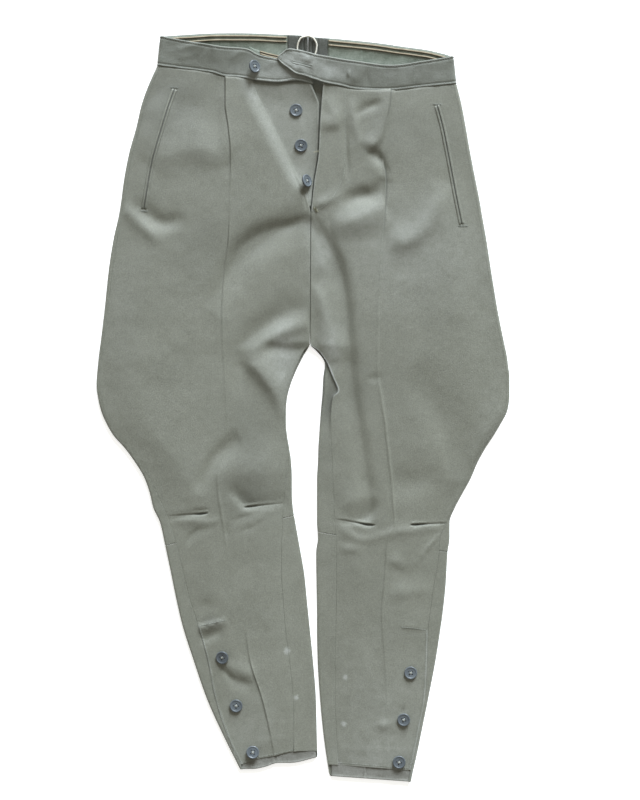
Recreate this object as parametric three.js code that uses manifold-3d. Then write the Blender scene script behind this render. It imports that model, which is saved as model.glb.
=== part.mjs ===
// Riding breeches laid flat on their back, front up, waist towards +Y. Millimetres, +Z up, z = 0 is the table.
// Right and left are the wearer's: the right leg lies on the -X side.
import * as THREE from 'three';
import { mergeVertices } from 'three/addons/utils/BufferGeometryUtils.js';
import Module from 'manifold-3d';

// Driving sizes
const CLOTH = 1.5; // wall of the outer cloth
const LINING = 1; // wall of linings, facings and pocket jets
const GAP = 0.3; // between two pieces at a seam, or one on another
const CHORD_GAP = 0.7; // under the waistband, whose flats don't start and end where the panels' do
const INNER_ROLL = 2.4; // outer radius of the soft fold down the inside of a leg
const BAND_ROLL = 4; // outer radius of the waistband's fold at the side
const CROWN_REACH = 60; // how far from a fold the front takes to rise to its crown
const EASE = 80; // how far the slope of a waist seam, knee seam or hem is felt along the leg
const CREASE = 1; // height of the pressed crease
const PLEAT = 1.8; // height that the waist pleat adds to the crease, whose inner side is a step
const PLEAT_FOOT = 290; // where along the leg the pleat has opened out into the crease
const PLEAT_RUN = 70;
const PLEAT_STEP = 0.06; // width of the step, as a share of the way from crease to inner seam
const CURL_CELLS = 4;
const LAP_CELLS = 2;
const UNDER_CELLS = 4;
const FRONT_CELLS = 6; // each side of the crease
const FLAT_TURN = 12; // width at the centre back that turns into the inside fold below the crotch
const BACK_BAND = 39; // height of the waistband at the back
const BUTTON_RADIUS = 8.4;
const BUTTON_HEIGHT = 3.2;
const BUTTON_RIM = 1.7;
const BUTTON_DISH = 1; // how deep the middle lies under the rim
const BUTTON_HOLE = 0.85;
const BUTTON_HOLE_OFFSET = 1.75;
const BUTTON_BEVEL = 1.2; // at the edge of its underside
const BUTTON_SIDES = 20;
const BUTTON_LIFT = 0.6; // room under a button for its thread
const WIRE = 2.3; // diameter of the hanging loop's wire
const JET = 3.6; // width of one jet of a pocket
const CORD = 2.6; // width of a cord in the waist lining
const FACING_DEPTH = 24; // how far a hem facing reaches up inside the leg

const OUTER_CLOTH = new THREE.Color(0.29, 0.31, 0.27);
const LINING_CLOTH = new THREE.Color(0.25, 0.29, 0.25);
const TAN = new THREE.Color(0.45, 0.36, 0.22);
const SLATE = new THREE.Color(0.2, 0.24, 0.28);
const CREAM = new THREE.Color(0.8, 0.78, 0.7);

const namedRows = (columns, rows) => rows.map((row) => Object.fromEntries(columns.map((name, i) => [name, row[i]])));

// One row per cross-section, from the waist down. outer and inner are the folded edges (inner is the centre back
// seam above the crotch), outerSeam and innerSeam the edges of the front panel, roll the radius of the outer fold,
// crown the height that the front stands above its folds, bind how far the centre front is drawn down, closed how
// far the inside of the leg is folded.
const LEG_COLUMNS = ['y', 'outer', 'outerSeam', 'crease', 'innerSeam', 'inner', 'roll', 'crown', 'bind', 'closed'];
const RIGHT_LEG = namedRows(LEG_COLUMNS, [
  [444, -190, -185, -102, -69, 6, 4, 0.2, 0, 0],
  [420, -201, -196, -101, -64, 6, 4, 0.6, 0, 0],
  [395, -210, -205, -101, -53, 6, 4, 1.2, 0, 0],
  [365, -217, -212, -97, -38, 6.2, 3.8, 1.8, 0, 0],
  [331, -226.5, -221.5, -94, -21, 6.5, 3.6, 2.2, 0, 0],
  [297, -233, -228, -94, -5, 7, 3.4, 2.6, 0, 0],
  [267, -237, -232, -94.5, 7, 7.5, 3.3, 3, 0, 0],
  [252, -239.5, -235, -95, 9.9, 7.7, 3.2, 3.2, 0.15, 0],
  [218, -247, -242, -97, 9.7, 7.8, 3.1, 3.4, 0.35, 0],
  [179, -253, -248, -102, 9.4, 8, 3, 3.5, 0.6, 0],
  [127, -258.5, -254, -105, 9.1, 8.4, 3, 3.5, 0.85, 0],
  [82, -264, -260, -104, 8.8, 8.8, 2.9, 3.5, 1, 0],
  [75, -265, -261, -103.7, 1, 4, 2.9, 3.5, 1, 0.35],
  [62, -266.5, -262, -103, -5.6, -2.6, 2.9, 3.5, 1, 0.8],
  [46, -268, -264, -102, -13.5, -10, 2.8, 3.5, 1, 1],
  [29, -269, -265, -101, -20, -16.5, 2.8, 3.5, 1, 1],
  [10, -266.5, -262, -100, -24.5, -21, 2.8, 3.5, 1, 1],
  [-6, -262.5, -258, -99, -25.5, -22, 2.8, 3.5, 1, 1],
  [-21, -256, -252, -98, -25.5, -22, 2.8, 3.5, 1, 1],
  [-37, -246.5, -242, -99, -24, -20.5, 2.8, 3.4, 1, 1],
  [-52, -233, -229, -101, -21.5, -18, 2.8, 3.3, 1, 1],
  [-71, -219, -215, -106, -19, -15.3, 2.8, 3.2, 1, 1],
  [-92, -206.5, -200, -111, -22, -14.3, 2.8, 3.1, 1, 1],
  [-112, -199.5, -190, -110, -24.3, -14.3, 2.8, 3, 1, 1],
  [-131, -195, -181, -107, -26, -13, 2.8, 3, 1, 1],
  [-149, -186.5, -174, -104, -26.5, -10, 2.8, 3, 1, 1],
  [-180, -179.5, -164, -100, -28, -4.5, 2.8, 2.8, 1, 1],
  [-218, -171.5, -155, -94, -28, 2, 2.7, 2.6, 1, 1],
  [-250, -165, -147, -85, -26, 5.2, 2.7, 2.4, 1, 1],
  [-284, -157, -136.5, -75, -23.4, 8.6, 2.7, 2.2, 1, 1],
  [-328, -143, -124.5, -69, -18, 13, 2.6, 2, 1, 1],
  [-380, -125, -114, -53, -13, 17, 2.6, 1.6, 1, 1],
  [-432, -101.5, -96.5, -41, -12, 18.3, 2.5, 1.2, 1, 1],
  [-466, -84.5, -80.5, -36, -12, 19.5, 2.5, 1, 1, 1],
  [-471, -82, -78.5, -36, -12, 20, 2.5, 1, 1, 1],
]);
const LEFT_LEG = namedRows(LEG_COLUMNS, [
  [420.5, 200, 195, 114.5, 26, 6.6, 4, 0.2, 0, 0],
  [394.5, 206.5, 201.5, 112.5, 23.8, 6.6, 4, 0.8, 0, 0],
  [365, 212, 207, 106.5, 21.7, 6.6, 3.8, 1.6, 0, 0],
  [331, 218, 213, 103, 20.3, 6.8, 3.6, 2.2, 0, 0],
  [295, 225, 220, 107.5, 14.8, 7.1, 3.4, 2.6, 0, 0],
  [267, 230.5, 225.5, 107, 11.7, 7.6, 3.3, 3, 0, 0],
  [252, 233, 228, 106, 10.3, 7.8, 3.2, 3.2, 0.15, 0],
  [218, 239, 234, 103.5, 10.1, 7.9, 3.1, 3.4, 0.35, 0],
  [179, 245, 240, 101.5, 9.8, 8.1, 3, 3.5, 0.6, 0],
  [127, 253.5, 249, 98, 9.5, 8.5, 3, 3.5, 0.85, 0],
  [82, 262.5, 258, 97.5, 9.2, 9.2, 2.9, 3.5, 1, 0],
  [75, 264, 260, 97.5, 20, 17, 2.9, 3.5, 1, 0.35],
  [62, 266.5, 262, 97.5, 30, 27, 2.9, 3.5, 1, 0.8],
  [56, 267, 263, 97.5, 32.5, 28.5, 2.9, 3.5, 1, 1],
  [40, 269, 265, 97.5, 39, 26.4, 2.8, 3.5, 1, 1],
  [21, 269, 265, 100.5, 46, 25.5, 2.8, 3.5, 1, 1],
  [15, 269, 265, 101.5, 39.7, 25, 2.8, 3.5, 1, 1],
  [-3, 266.5, 262, 104, 36.8, 23.4, 2.8, 3.5, 1, 1],
  [-21, 257.5, 253, 107, 35.9, 22, 2.8, 3.5, 1, 1],
  [-37, 248, 244, 108.5, 36.4, 21, 2.8, 3.4, 1, 1],
  [-52, 238, 234, 110.5, 37.3, 20, 2.8, 3.3, 1, 1],
  [-71, 227.5, 223, 112.5, 38, 19.5, 2.8, 3.2, 1, 1],
  [-92, 218.5, 214, 115, 39, 18.2, 2.8, 3.1, 1, 1],
  [-112, 207.5, 203, 116.5, 39.8, 18.2, 2.8, 3, 1, 1],
  [-131, 197.5, 193.5, 118, 40.3, 18.2, 2.8, 3, 1, 1],
  [-149, 191, 187, 119, 41, 18.2, 2.8, 3, 1, 1],
  [-170, 191, 178, 110.5, 43, 19.5, 2.8, 2.9, 1, 1],
  [-188, 188.5, 177, 108.5, 43.3, 17, 2.8, 2.8, 1, 1],
  [-230, 186, 170.5, 105.5, 43.5, 17.6, 2.7, 2.6, 1, 1],
  [-268, 182, 165, 102.5, 43, 18.2, 2.7, 2.4, 1, 1],
  [-289, 179, 162.5, 103.5, 42.2, 18.2, 2.7, 2.2, 1, 1],
  [-328, 173, 161.5, 106.5, 41.6, 19, 2.6, 2, 1, 1],
  [-375, 164, 159, 109, 41.6, 21.8, 2.6, 1.6, 1, 1],
  [-417, 155.5, 151.5, 109.5, 43, 25.6, 2.5, 1.3, 1, 1],
  [-458, 147, 143.3, 110, 45.5, 31, 2.5, 1, 1, 1],
  [-473, 143.5, 140, 110, 46, 33.5, 2.5, 1, 1, 1],
  [-487.5, 140.5, 137, 110, 47, 36, 2.5, 1, 1, 1],
]);

// Edges across the legs as [x, y] from -X to +X
const RIGHT_WAIST_SEAM = [
  [-190, 444], [-120, 435], [-102, 430], [-82, 428.5], [-57, 424.5], [-32, 422.5], [-8, 425], [5, 424], [14, 420],
];
const LEFT_WAIST_SEAM = [[26, 422], [34, 420.5], [70, 413], [112, 411.5], [155, 416], [200, 420.5]];
const RIGHT_KNEE_SEAM = [[-182, -180], [-10, -140.5]];
const LEFT_KNEE_SEAM = [[18, -162], [190, -188]];
const RIGHT_HEM = [[-82, -466], [-59, -458], [-38, -454], [-17, -449], [0, -447.5], [19.5, -447.5]];
const LEFT_HEM = [[33, -465], [143.5, -473]];
const RIGHT_BACK_HEM = [[-81, -471], [-66, -471], [-51, -468.5], [-32, -463], [-17, -463], [20.5, -455]];
const LEFT_BACK_HEM = [[35, -480], [140.5, -487.5]];

// Soft folds of the fronts: a ridge (height above 0) or a trough along each line
const FOLDS = namedRows(['x1', 'y1', 'x2', 'y2', 'width', 'height'], [
  [8, 244, -88, 214, 14, -2], // right, from the fly's foot towards the crease
  [-30, 320, -66, 400, 14, 1.4], // right, the roll beside the fly stand
  [0, 128, -78, 74, 16, 2.2], // right, from the crotch across the thigh
  [-94, -38, -134, -96, 13, 2.2], // right, above the knee
  [-100, -124, -40, -122, 12, -1.4], // right, over the inner knee dart
  [14, 246, 58, 192, 14, 2],
  [58, 192, 66, 130, 14, 2.2],
  [66, 130, 74, 10, 14, 2.2],
  [74, 10, 99, -120, 14, 2],
  [95, 333, 88, 331, 10, -1.6], // left, the hollow under the pleat
  [104, 300, 60, 282, 16, 1.8],
  [43, -162, 160, -158, 10, 1.4], // left, under the knee darts
]);

// Fly stand: its seam with the right front and its free edge, from the waist seam down to the foot of the fly
const FLY_STAND = namedRows(['y', 'seam', 'edge'], [
  [424, -65, 12],
  [395, -53, 17],
  [365, -38, 18],
  [331, -21, 16],
  [297, -5, 11.2],
  [269, 6, 7.4],
]);

// Waistband: [lowX, lowY, topX, topY, z] of its outer face along the front, from the fly to the side
const BAND_COLUMNS = ['lowX', 'lowY', 'topX', 'topY', 'z'];
const RIGHT_BAND_FRONT = namedRows(BAND_COLUMNS, [
  [13.5, 420.3, 12, 444, 8.2],
  [-8, 425.2, -8, 449, 8.2],
  [-32, 422.8, -34, 454, 8.2],
  [-57, 424.8, -57, 459, 8.2],
  [-70, 427, -71, 466, 8.2],
  [-82, 428.8, -82, 467.8, 8.2],
  [-102, 430.3, -102, 469, 8.2],
  [-120, 435.3, -120, 471.5, 8.2],
  [-160, 440.5, -160, 478, 8.1],
]);
const LEFT_BAND_FRONT = namedRows(BAND_COLUMNS, [
  [-32.5, 452, -33.5, 456, 10.4],
  [-27, 446, -27, 461.5, 10.4],
  [-19.5, 440.5, -18, 466.5, 10.4],
  [-9, 433, 2, 463.5, 10.4],
  [2, 430.3, 16, 459.5, 10.4],
  [26, 422.3, 34, 456.3, 10.2],
  [48, 418, 52, 453, 9.4],
  [70, 413.3, 70, 450.4, 8.6],
  [112, 411.8, 114, 445.2, 8.2],
  [155, 416.3, 155, 450.4, 8.1],
]);
// Back edge of the waistband, as [x, top y] from the side to the centre back
const RIGHT_BAND_BACK = [[-186, 483], [-150, 485.5], [-116, 487.3], [-73, 487.5], [-36, 486], [-9, 485], [6.35, 484]];
const LEFT_BAND_BACK = [[196, 457], [164, 465], [129, 470], [94, 475], [48, 479.7], [17, 482.2], [6.65, 483.8]];
// Foot and head of each half's fold at the side
const BAND_SIDES = {
  right: { lowX: -190, lowY: 444.3, topX: -186, topY: 483 },
  left: { lowX: 200, lowY: 420.8, topX: 196, topY: 457 },
};

// Pocket mouths as [x, y] down their middle
const POCKETS = {
  right: [[-167, 414], [-176, 388], [-184.5, 360], [-192, 335], [-198, 311], [-207, 258]],
  left: [[174, 393], [182, 363], [190.5, 320], [199, 275], [206.5, 238]],
};

const BUTTONS = namedRows(['name', 'leg', 'x', 'y', 'tilt', 'turn'], [
  ['button_waist', 'right', -62.8, 442.7, 30, 8],
  ['button_fly_1', 'right', -9, 387, 0, 0],
  ['button_fly_2', 'right', -2.6, 341, 0, 0],
  ['button_fly_3', 'right', 4.2, 294.5, 48, 14],
  ['button_right_leg_1', 'right', -105, -325, 0, 0],
  ['button_right_leg_2', 'right', -87, -388, 0, 0],
  ['button_right_leg_3', 'right', -65.4, -447.5, 0, 0],
  ['button_left_leg_1', 'left', 140, -345, 0, 0],
  ['button_left_leg_2', 'left', 131, -406, 0, 0],
  ['button_left_leg_3', 'left', 125, -461.5, 0, 0],
]);

// Hanging loop, seen from above, [x, y] round the middle of its wire
const LOOP_PATH = [
  [-7, 464], [-7.4, 470], [-4.5, 478], [0, 481.6], [6.5, 482.9], [10.3, 481.2], [17.3, 473.6], [17.8, 467],
  [16.8, 460], [12.5, 454], [5, 452], [-2.5, 455],
];

const clamp = (value, low, high) => Math.min(high, Math.max(low, value));
const lerp = (a, b, t) => a + (b - a) * t;

function smooth(value) {
  const t = clamp(value, 0, 1);
  return t * t * (3 - 2 * t);
}

// Height of a line of [x, y] points at x, held level past its ends
function lineAt(points, x) {
  const ordered = points[0][0] < points[points.length - 1][0] ? points : [...points].reverse();
  const next = ordered.findIndex((point) => point[0] >= x);
  if (next === 0) {
    return ordered[0][1];
  }
  if (next < 0) {
    return ordered[ordered.length - 1][1];
  }
  const [x0, y0] = ordered[next - 1];
  const [x1, y1] = ordered[next];
  return lerp(y0, y1, (x - x0) / (x1 - x0));
}

// A leg's cross-section at any height, between the rows of its table
function sectionAt(leg, y) {
  const rows = leg.rows;
  const below = clamp(rows.findIndex((row) => row.y <= y), 1, rows.length - 1);
  const index = y < rows[rows.length - 1].y ? rows.length - 1 : below;
  const upper = rows[index - 1];
  const lower = rows[index];
  const t = clamp((upper.y - y) / (upper.y - lower.y), 0, 1);
  return Object.fromEntries(LEG_COLUMNS.map((name) => [name, lerp(upper[name], lower[name], t)]));
}

function foldHeight(x, y) {
  let height = 0;
  for (const fold of FOLDS) {
    const dx = fold.x2 - fold.x1;
    const dy = fold.y2 - fold.y1;
    const t = clamp(((x - fold.x1) * dx + (y - fold.y1) * dy) / (dx * dx + dy * dy), 0, 1);
    const away = Math.hypot(x - fold.x1 - dx * t, y - fold.y1 - dy * t) / fold.width;
    height += fold.height * Math.exp(-away * away);
  }
  return height;
}

// Top of the cloth at a place on a leg
function topHeight(leg, x, y) {
  const section = sectionAt(leg, y);
  const fromOuter = (x - section.outer) * leg.side;
  const fromInner = (section.inner - x) * leg.side;
  const across = fromOuter / Math.abs(section.inner - section.outer);
  const atInner = lerp(2 * section.roll, 2 * INNER_ROLL, section.bind);
  const base = lerp(2 * section.roll, atInner, smooth(across));
  const drawnDown = section.bind * (1 - smooth(fromInner / CROWN_REACH));
  const rise = smooth(fromOuter / CROWN_REACH) * (1 - drawnDown);
  return base + rise * (section.crown + foldHeight(x, y));
}

// A closed solid from a grid of [outer point, inner point] pairs, each point [x, y, z]
function thinSolid(name, grid, material) {
  const rowCount = grid.length;
  const columnCount = grid[0].length;
  const layer = rowCount * columnCount;
  const at = (i, j, side) => side * layer + i * columnCount + j;
  const index = [];
  const quad = (a, b, c, d) => index.push(a, b, c, a, c, d);
  for (let i = 0; i < rowCount - 1; i += 1) {
    for (let j = 0; j < columnCount - 1; j += 1) {
      quad(at(i, j, 0), at(i, j + 1, 0), at(i + 1, j + 1, 0), at(i + 1, j, 0));
      quad(at(i, j, 1), at(i + 1, j, 1), at(i + 1, j + 1, 1), at(i, j + 1, 1));
    }
  }
  const lastRow = rowCount - 1;
  const lastColumn = columnCount - 1;
  for (let j = 0; j < lastColumn; j += 1) {
    quad(at(0, j + 1, 0), at(0, j, 0), at(0, j, 1), at(0, j + 1, 1));
    quad(at(lastRow, j, 0), at(lastRow, j + 1, 0), at(lastRow, j + 1, 1), at(lastRow, j, 1));
  }
  for (let i = 0; i < lastRow; i += 1) {
    quad(at(i, 0, 0), at(i + 1, 0, 0), at(i + 1, 0, 1), at(i, 0, 1));
    quad(at(i + 1, lastColumn, 0), at(i, lastColumn, 0), at(i, lastColumn, 1), at(i + 1, lastColumn, 1));
  }
  const points = [0, 1].flatMap((side) => grid.flatMap((row) => row.map((pair) => pair[side])));
  if (signedVolume(points, index) < 0) {
    index.reverse();
  }
  const geometry = new THREE.BufferGeometry();
  geometry.setAttribute('position', new THREE.Float32BufferAttribute(points.flat(), 3));
  geometry.setIndex(index);
  geometry.computeVertexNormals();
  return namedMesh(name, geometry, material);
}

function signedVolume(points, index) {
  let total = 0;
  for (let k = 0; k < index.length; k += 3) {
    const [a, b, c] = [0, 1, 2].map((n) => new THREE.Vector3(...points[index[k + n]]));
    total += a.dot(b.cross(c));
  }
  return total;
}

function namedMesh(name, geometry, material) {
  const mesh = new THREE.Mesh(geometry, material);
  mesh.name = name;
  return mesh;
}

const cloth = (color, roughness = 0.9) => new THREE.MeshStandardMaterial({ color, roughness, metalness: 0 });

// Moves a section's height so that the panel's top and bottom rows follow its cut edges
function warped(y, x, top, bottom) {
  const topShift = smooth(1 - (top.y - y) / EASE) * (lineAt(top.line, x) - top.y);
  const bottomShift = smooth(1 - (y - bottom.y) / EASE) * (lineAt(bottom.line, x) - bottom.y);
  return y + topShift + bottomShift;
}

// Finds the place along a cut panel's row: place(y) gives { x, z, nx, nz } in the section at y
function settle(y, place, top, bottom) {
  let at = y;
  for (let pass = 0; pass < 4; pass += 1) {
    at = warped(y, place(at).x, top, bottom);
  }
  return { y: at, ...place(at) };
}

const pairAt = (spot, wall) => [
  [spot.x, spot.y, spot.z],
  [spot.x - spot.nx * wall, spot.y, spot.z - spot.nz * wall],
];

const rowHeights = (leg, top, bottom) => [
  top,
  ...leg.rows.map((row) => row.y).filter((y) => y < top - 1 && y > bottom + 1),
  bottom,
];

// A front: one cut from waist seam to hem, between its two leg seams, with a pressed crease
function frontPanel(name, leg, material) {
  const columns = [];
  for (let j = 0; j <= 2 * FRONT_CELLS; j += 1) {
    columns.push(j / FRONT_CELLS);
  }
  columns.splice(FRONT_CELLS + 1, 0, 1 + PLEAT_STEP);
  const place = (column) => (y) => {
    const section = sectionAt(leg, y);
    const outer = section.outerSeam + (leg.side * GAP) / 2;
    const inner = section.innerSeam - (leg.side * GAP) / 2;
    const x = column < 1 ? lerp(outer, section.crease, column) : lerp(section.crease, inner, column - 1);
    const ridge = column === 1 ? CREASE + PLEAT * smooth((y - PLEAT_FOOT) / PLEAT_RUN) : 0;
    return { x, z: topHeight(leg, x, y) + ridge, nx: 0, nz: 1 };
  };
  const grid = rowHeights(leg, leg.top.y, leg.bottom.y).map((y) =>
    columns.map((column) => pairAt(settle(y, place(column), leg.top, leg.bottom), CLOTH)),
  );
  return thinSolid(name, grid, material);
}

// Places round a back panel's section, from the outer seam on top, under the leg, to the inner seam
function backPlaces(leg) {
  const places = [];
  const side = leg.side;
  places.push((y) => {
    const section = sectionAt(leg, y);
    const x = section.outerSeam - (side * GAP) / 2;
    return { x, z: 2 * section.roll, nx: 0, nz: 1 };
  });
  for (let k = 0; k <= CURL_CELLS; k += 1) {
    const angle = (Math.PI * k) / CURL_CELLS;
    places.push((y) => {
      const section = sectionAt(leg, y);
      const nx = -side * Math.sin(angle);
      const nz = Math.cos(angle);
      const x = section.outer + side * section.roll + nx * section.roll;
      return { x, z: section.roll + nz * section.roll, nx, nz };
    });
  }
  for (let k = 1; k <= UNDER_CELLS; k += 1) {
    places.push((y) => {
      const section = sectionAt(leg, y);
      const x = lerp(section.outer + side * section.roll, underEnd(leg, section), k / UNDER_CELLS);
      return { x, z: 0, nx: 0, nz: -1 };
    });
  }
  const turnCells = CURL_CELLS + LAP_CELLS;
  for (let k = 1; k <= turnCells; k += 1) {
    places.push((y) => innerTurn(leg, sectionAt(leg, y), k / turnCells));
  }
  return places;
}

const underEnd = (leg, section) =>
  section.inner - leg.side * (GAP / 2 + lerp(FLAT_TURN, INNER_ROLL, section.closed));

// The inside of a leg: flat up to the centre back seam above the crotch, folded up and over below it
function innerTurn(leg, section, part) {
  const side = leg.side;
  const flatShare = 1 - section.closed;
  const curlShare = (section.closed * CURL_CELLS) / (CURL_CELLS + LAP_CELLS);
  const start = underEnd(leg, section);
  const curlCentre = lerp(section.inner - (side * GAP) / 2, section.inner - side * INNER_ROLL, section.closed);
  if (part <= flatShare) {
    return { x: lerp(start, curlCentre, part / flatShare), z: 0, nx: 0, nz: -1 };
  }
  const turned = Math.min(1, (part - flatShare) / curlShare);
  const angle = Math.PI * turned * section.closed;
  const nx = side * Math.sin(angle);
  const nz = -Math.cos(angle);
  const curl = { x: curlCentre + nx * INNER_ROLL, z: INNER_ROLL * (1 + nz), nx, nz };
  if (turned < 1 || section.closed < 1) {
    return curl;
  }
  const lapped = (part - flatShare - curlShare) / (1 - flatShare - curlShare);
  const x = lerp(curl.x, section.innerSeam + (side * GAP) / 2, lapped);
  return { x, z: lapped > 0 ? topHeight(leg, x, section.y) : curl.z, nx: 0, nz: 1 };
}

// A back panel between a top and a bottom edge, folded up round both sides of the leg
function backPanel(name, leg, top, bottom, material) {
  const places = backPlaces(leg);
  const grid = rowHeights(leg, top.y, bottom.y).map((y) =>
    places.map((place) => pairAt(settle(y, place, top, bottom), CLOTH)),
  );
  return thinSolid(name, grid, material);
}

// A flat or gently bent strip from rows of { lowX, lowY, topX, topY, z }
function strip(name, rows, wall, material) {
  const grid = rows.map((row) => [
    [[row.lowX, row.lowY, row.z], [row.lowX, row.lowY, row.z - wall]],
    [[row.topX, row.topY, row.z], [row.topX, row.topY, row.z - wall]],
  ]);
  return thinSolid(name, grid, material);
}

// A waistband half: along the front, round the side fold and along the back to the centre back seam
function waistband(name, front, back, sideFold, side, material) {
  const straight = front.map((row) => [
    [[row.lowX, row.lowY, row.z], [row.lowX, row.lowY, row.z - CLOTH]],
    [[row.topX, row.topY, row.z], [row.topX, row.topY, row.z - CLOTH]],
  ]);
  const turn = [];
  for (let k = 0; k <= CURL_CELLS; k += 1) {
    const angle = (Math.PI * k) / CURL_CELLS;
    const nx = -side * Math.sin(angle);
    const nz = Math.cos(angle);
    const out = side * BAND_ROLL + nx * BAND_ROLL;
    const edge = (x, y) =>
      pairAt({ x: x + out, y, z: BAND_ROLL * (1 + nz), nx, nz }, CLOTH);
    turn.push([edge(sideFold.lowX, sideFold.lowY), edge(sideFold.topX, sideFold.topY)]);
  }
  const under = back.slice(1).map(([x, topY]) => {
    const lowY = topY - BACK_BAND + GAP;
    return [[[x, lowY, 0], [x, lowY, CLOTH]], [[x, topY, 0], [x, topY, CLOTH]]];
  });
  return thinSolid(name, [...straight, ...turn, ...under], material);
}

// A strip inside the back of the waist, between two depths below the band's top edge
function insideStrip(name, edge, xFrom, xTo, steps, depths, z, wall, material) {
  const rows = [];
  for (let k = 0; k <= steps; k += 1) {
    const x = lerp(xFrom, xTo, k / steps);
    const topY = lineAt(edge, x);
    rows.push({ lowX: x, lowY: topY - depths[1], topX: x, topY: topY - depths[0], z });
  }
  return strip(name, rows, wall, material);
}

// One jet of a pocket: a narrow strip on the front beside the mouth
function pocketJet(name, leg, mouth, from, to, material) {
  const grid = mouth.map(([x, y], k) => {
    const [xBefore, yBefore] = mouth[Math.max(0, k - 1)];
    const [xAfter, yAfter] = mouth[Math.min(mouth.length - 1, k + 1)];
    const run = Math.hypot(xAfter - xBefore, yAfter - yBefore);
    const across = [-(yAfter - yBefore) / run, (xAfter - xBefore) / run];
    return [from, to].map((offset) => {
      const px = x + across[0] * offset;
      const py = y + across[1] * offset;
      const z = topHeight(leg, px, py) + 2 * GAP;
      return [[px, py, z + LINING], [px, py, z]];
    });
  });
  return thinSolid(name, grid, material);
}

// The facing turned up inside the back of a hem
function hemFacing(name, leg, frontHem, backHem, material) {
  const steps = 8;
  const section = sectionAt(leg, leg.bottom.y);
  const from = section.outer + leg.side * (2 * section.roll + 1);
  const to = section.inner - leg.side * (2 * INNER_ROLL + 1);
  const rows = [];
  for (let k = 0; k <= steps; k += 1) {
    const x = lerp(from, to, k / steps);
    const lowY = lineAt(backHem, x) + GAP;
    rows.push({ lowX: x, lowY, topX: x, topY: lineAt(frontHem, x) + FACING_DEPTH, z: CLOTH + GAP + LINING });
  }
  return strip(name, rows, LINING, material);
}

const wasm = await Module();
wasm.setup();

function toManifold(geometry) {
  const bare = geometry.index ? geometry.toNonIndexed() : geometry.clone();
  bare.deleteAttribute('normal');
  bare.deleteAttribute('uv');
  const merged = mergeVertices(bare, 1e-4);
  return new wasm.Manifold(
    new wasm.Mesh({
      numProp: 3,
      vertProperties: new Float32Array(merged.attributes.position.array),
      triVerts: new Uint32Array(merged.index.array),
    }),
  );
}

// A four-hole button: a dished disc with a raised rim, its underside on z = 0
function buttonGeometry() {
  const profile = [
    [0, 0],
    [BUTTON_RADIUS - BUTTON_BEVEL, 0],
    [BUTTON_RADIUS, BUTTON_BEVEL],
    [BUTTON_RADIUS, BUTTON_HEIGHT - BUTTON_BEVEL],
    [BUTTON_RADIUS - BUTTON_BEVEL / 2, BUTTON_HEIGHT],
    [BUTTON_RADIUS - BUTTON_RIM, BUTTON_HEIGHT],
    [BUTTON_RADIUS - BUTTON_RIM - BUTTON_DISH, BUTTON_HEIGHT - BUTTON_DISH],
    [0, BUTTON_HEIGHT - BUTTON_DISH],
  ].map(([radius, height]) => new THREE.Vector2(radius, height));
  const disc = new THREE.LatheGeometry(profile, BUTTON_SIDES);
  disc.rotateX(Math.PI / 2);
  let button = toManifold(disc);
  for (const [signX, signY] of [[1, 1], [1, -1], [-1, 1], [-1, -1]]) {
    const drill = new THREE.CylinderGeometry(BUTTON_HOLE, BUTTON_HOLE, 3 * BUTTON_HEIGHT, 6);
    drill.rotateX(Math.PI / 2);
    drill.translate(signX * BUTTON_HOLE_OFFSET, signY * BUTTON_HOLE_OFFSET, 0);
    button = button.subtract(toManifold(drill));
  }
  const result = button.getMesh();
  const geometry = new THREE.BufferGeometry();
  geometry.setAttribute('position', new THREE.BufferAttribute(new Float32Array(result.vertProperties), 3));
  geometry.setIndex(new THREE.BufferAttribute(new Uint32Array(result.triVerts), 1));
  geometry.computeVertexNormals();
  return geometry;
}

const raised = (line, offset) => line.map(([x, y]) => [x, y + offset]);
const right = {
  rows: RIGHT_LEG,
  side: 1,
  top: { y: 444, line: raised(RIGHT_WAIST_SEAM, -CHORD_GAP) },
  bottom: { y: -466, line: RIGHT_HEM },
};
const left = {
  rows: LEFT_LEG,
  side: -1,
  top: { y: 420.5, line: raised(LEFT_WAIST_SEAM, -CHORD_GAP) },
  bottom: { y: -473, line: LEFT_HEM },
};
const legs = { right, left };
const outerCloth = () => cloth(OUTER_CLOTH);
const liningCloth = () => cloth(LINING_CLOTH);

const breeches = new THREE.Group();
breeches.name = 'riding_breeches';

breeches.add(frontPanel('front_right', right, outerCloth()));
breeches.add(frontPanel('front_left', left, outerCloth()));

// The back panel's upper edge: level round the side fold, then along the band's lower edge
const backSeam = (fold, side, bandEdge) => [
  [fold.lowX, fold.lowY - GAP],
  [fold.lowX + side * BAND_ROLL, fold.lowY - GAP],
  ...bandEdge.slice(1).map(([x, topY]) => [x, topY - BACK_BAND]),
];
const backs = {
  right: { band: RIGHT_BAND_BACK, knee: RIGHT_KNEE_SEAM, kneeY: -180, hem: RIGHT_BACK_HEM, hemY: -471 },
  left: { band: LEFT_BAND_BACK, knee: LEFT_KNEE_SEAM, kneeY: -188, hem: LEFT_BACK_HEM, hemY: -487.5 },
};
for (const [name, back] of Object.entries(backs)) {
  const leg = legs[name];
  const top = { y: leg.top.y, line: backSeam(BAND_SIDES[name], leg.side, back.band) };
  const kneeAbove = { y: back.kneeY, line: raised(back.knee, GAP / 2) };
  const kneeBelow = { y: back.kneeY, line: raised(back.knee, -GAP / 2) };
  const hem = { y: back.hemY, line: back.hem };
  breeches.add(backPanel(`back_upper_${name}`, leg, top, kneeAbove, outerCloth()));
  breeches.add(backPanel(`back_lower_${name}`, leg, kneeBelow, hem, outerCloth()));
}

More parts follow.
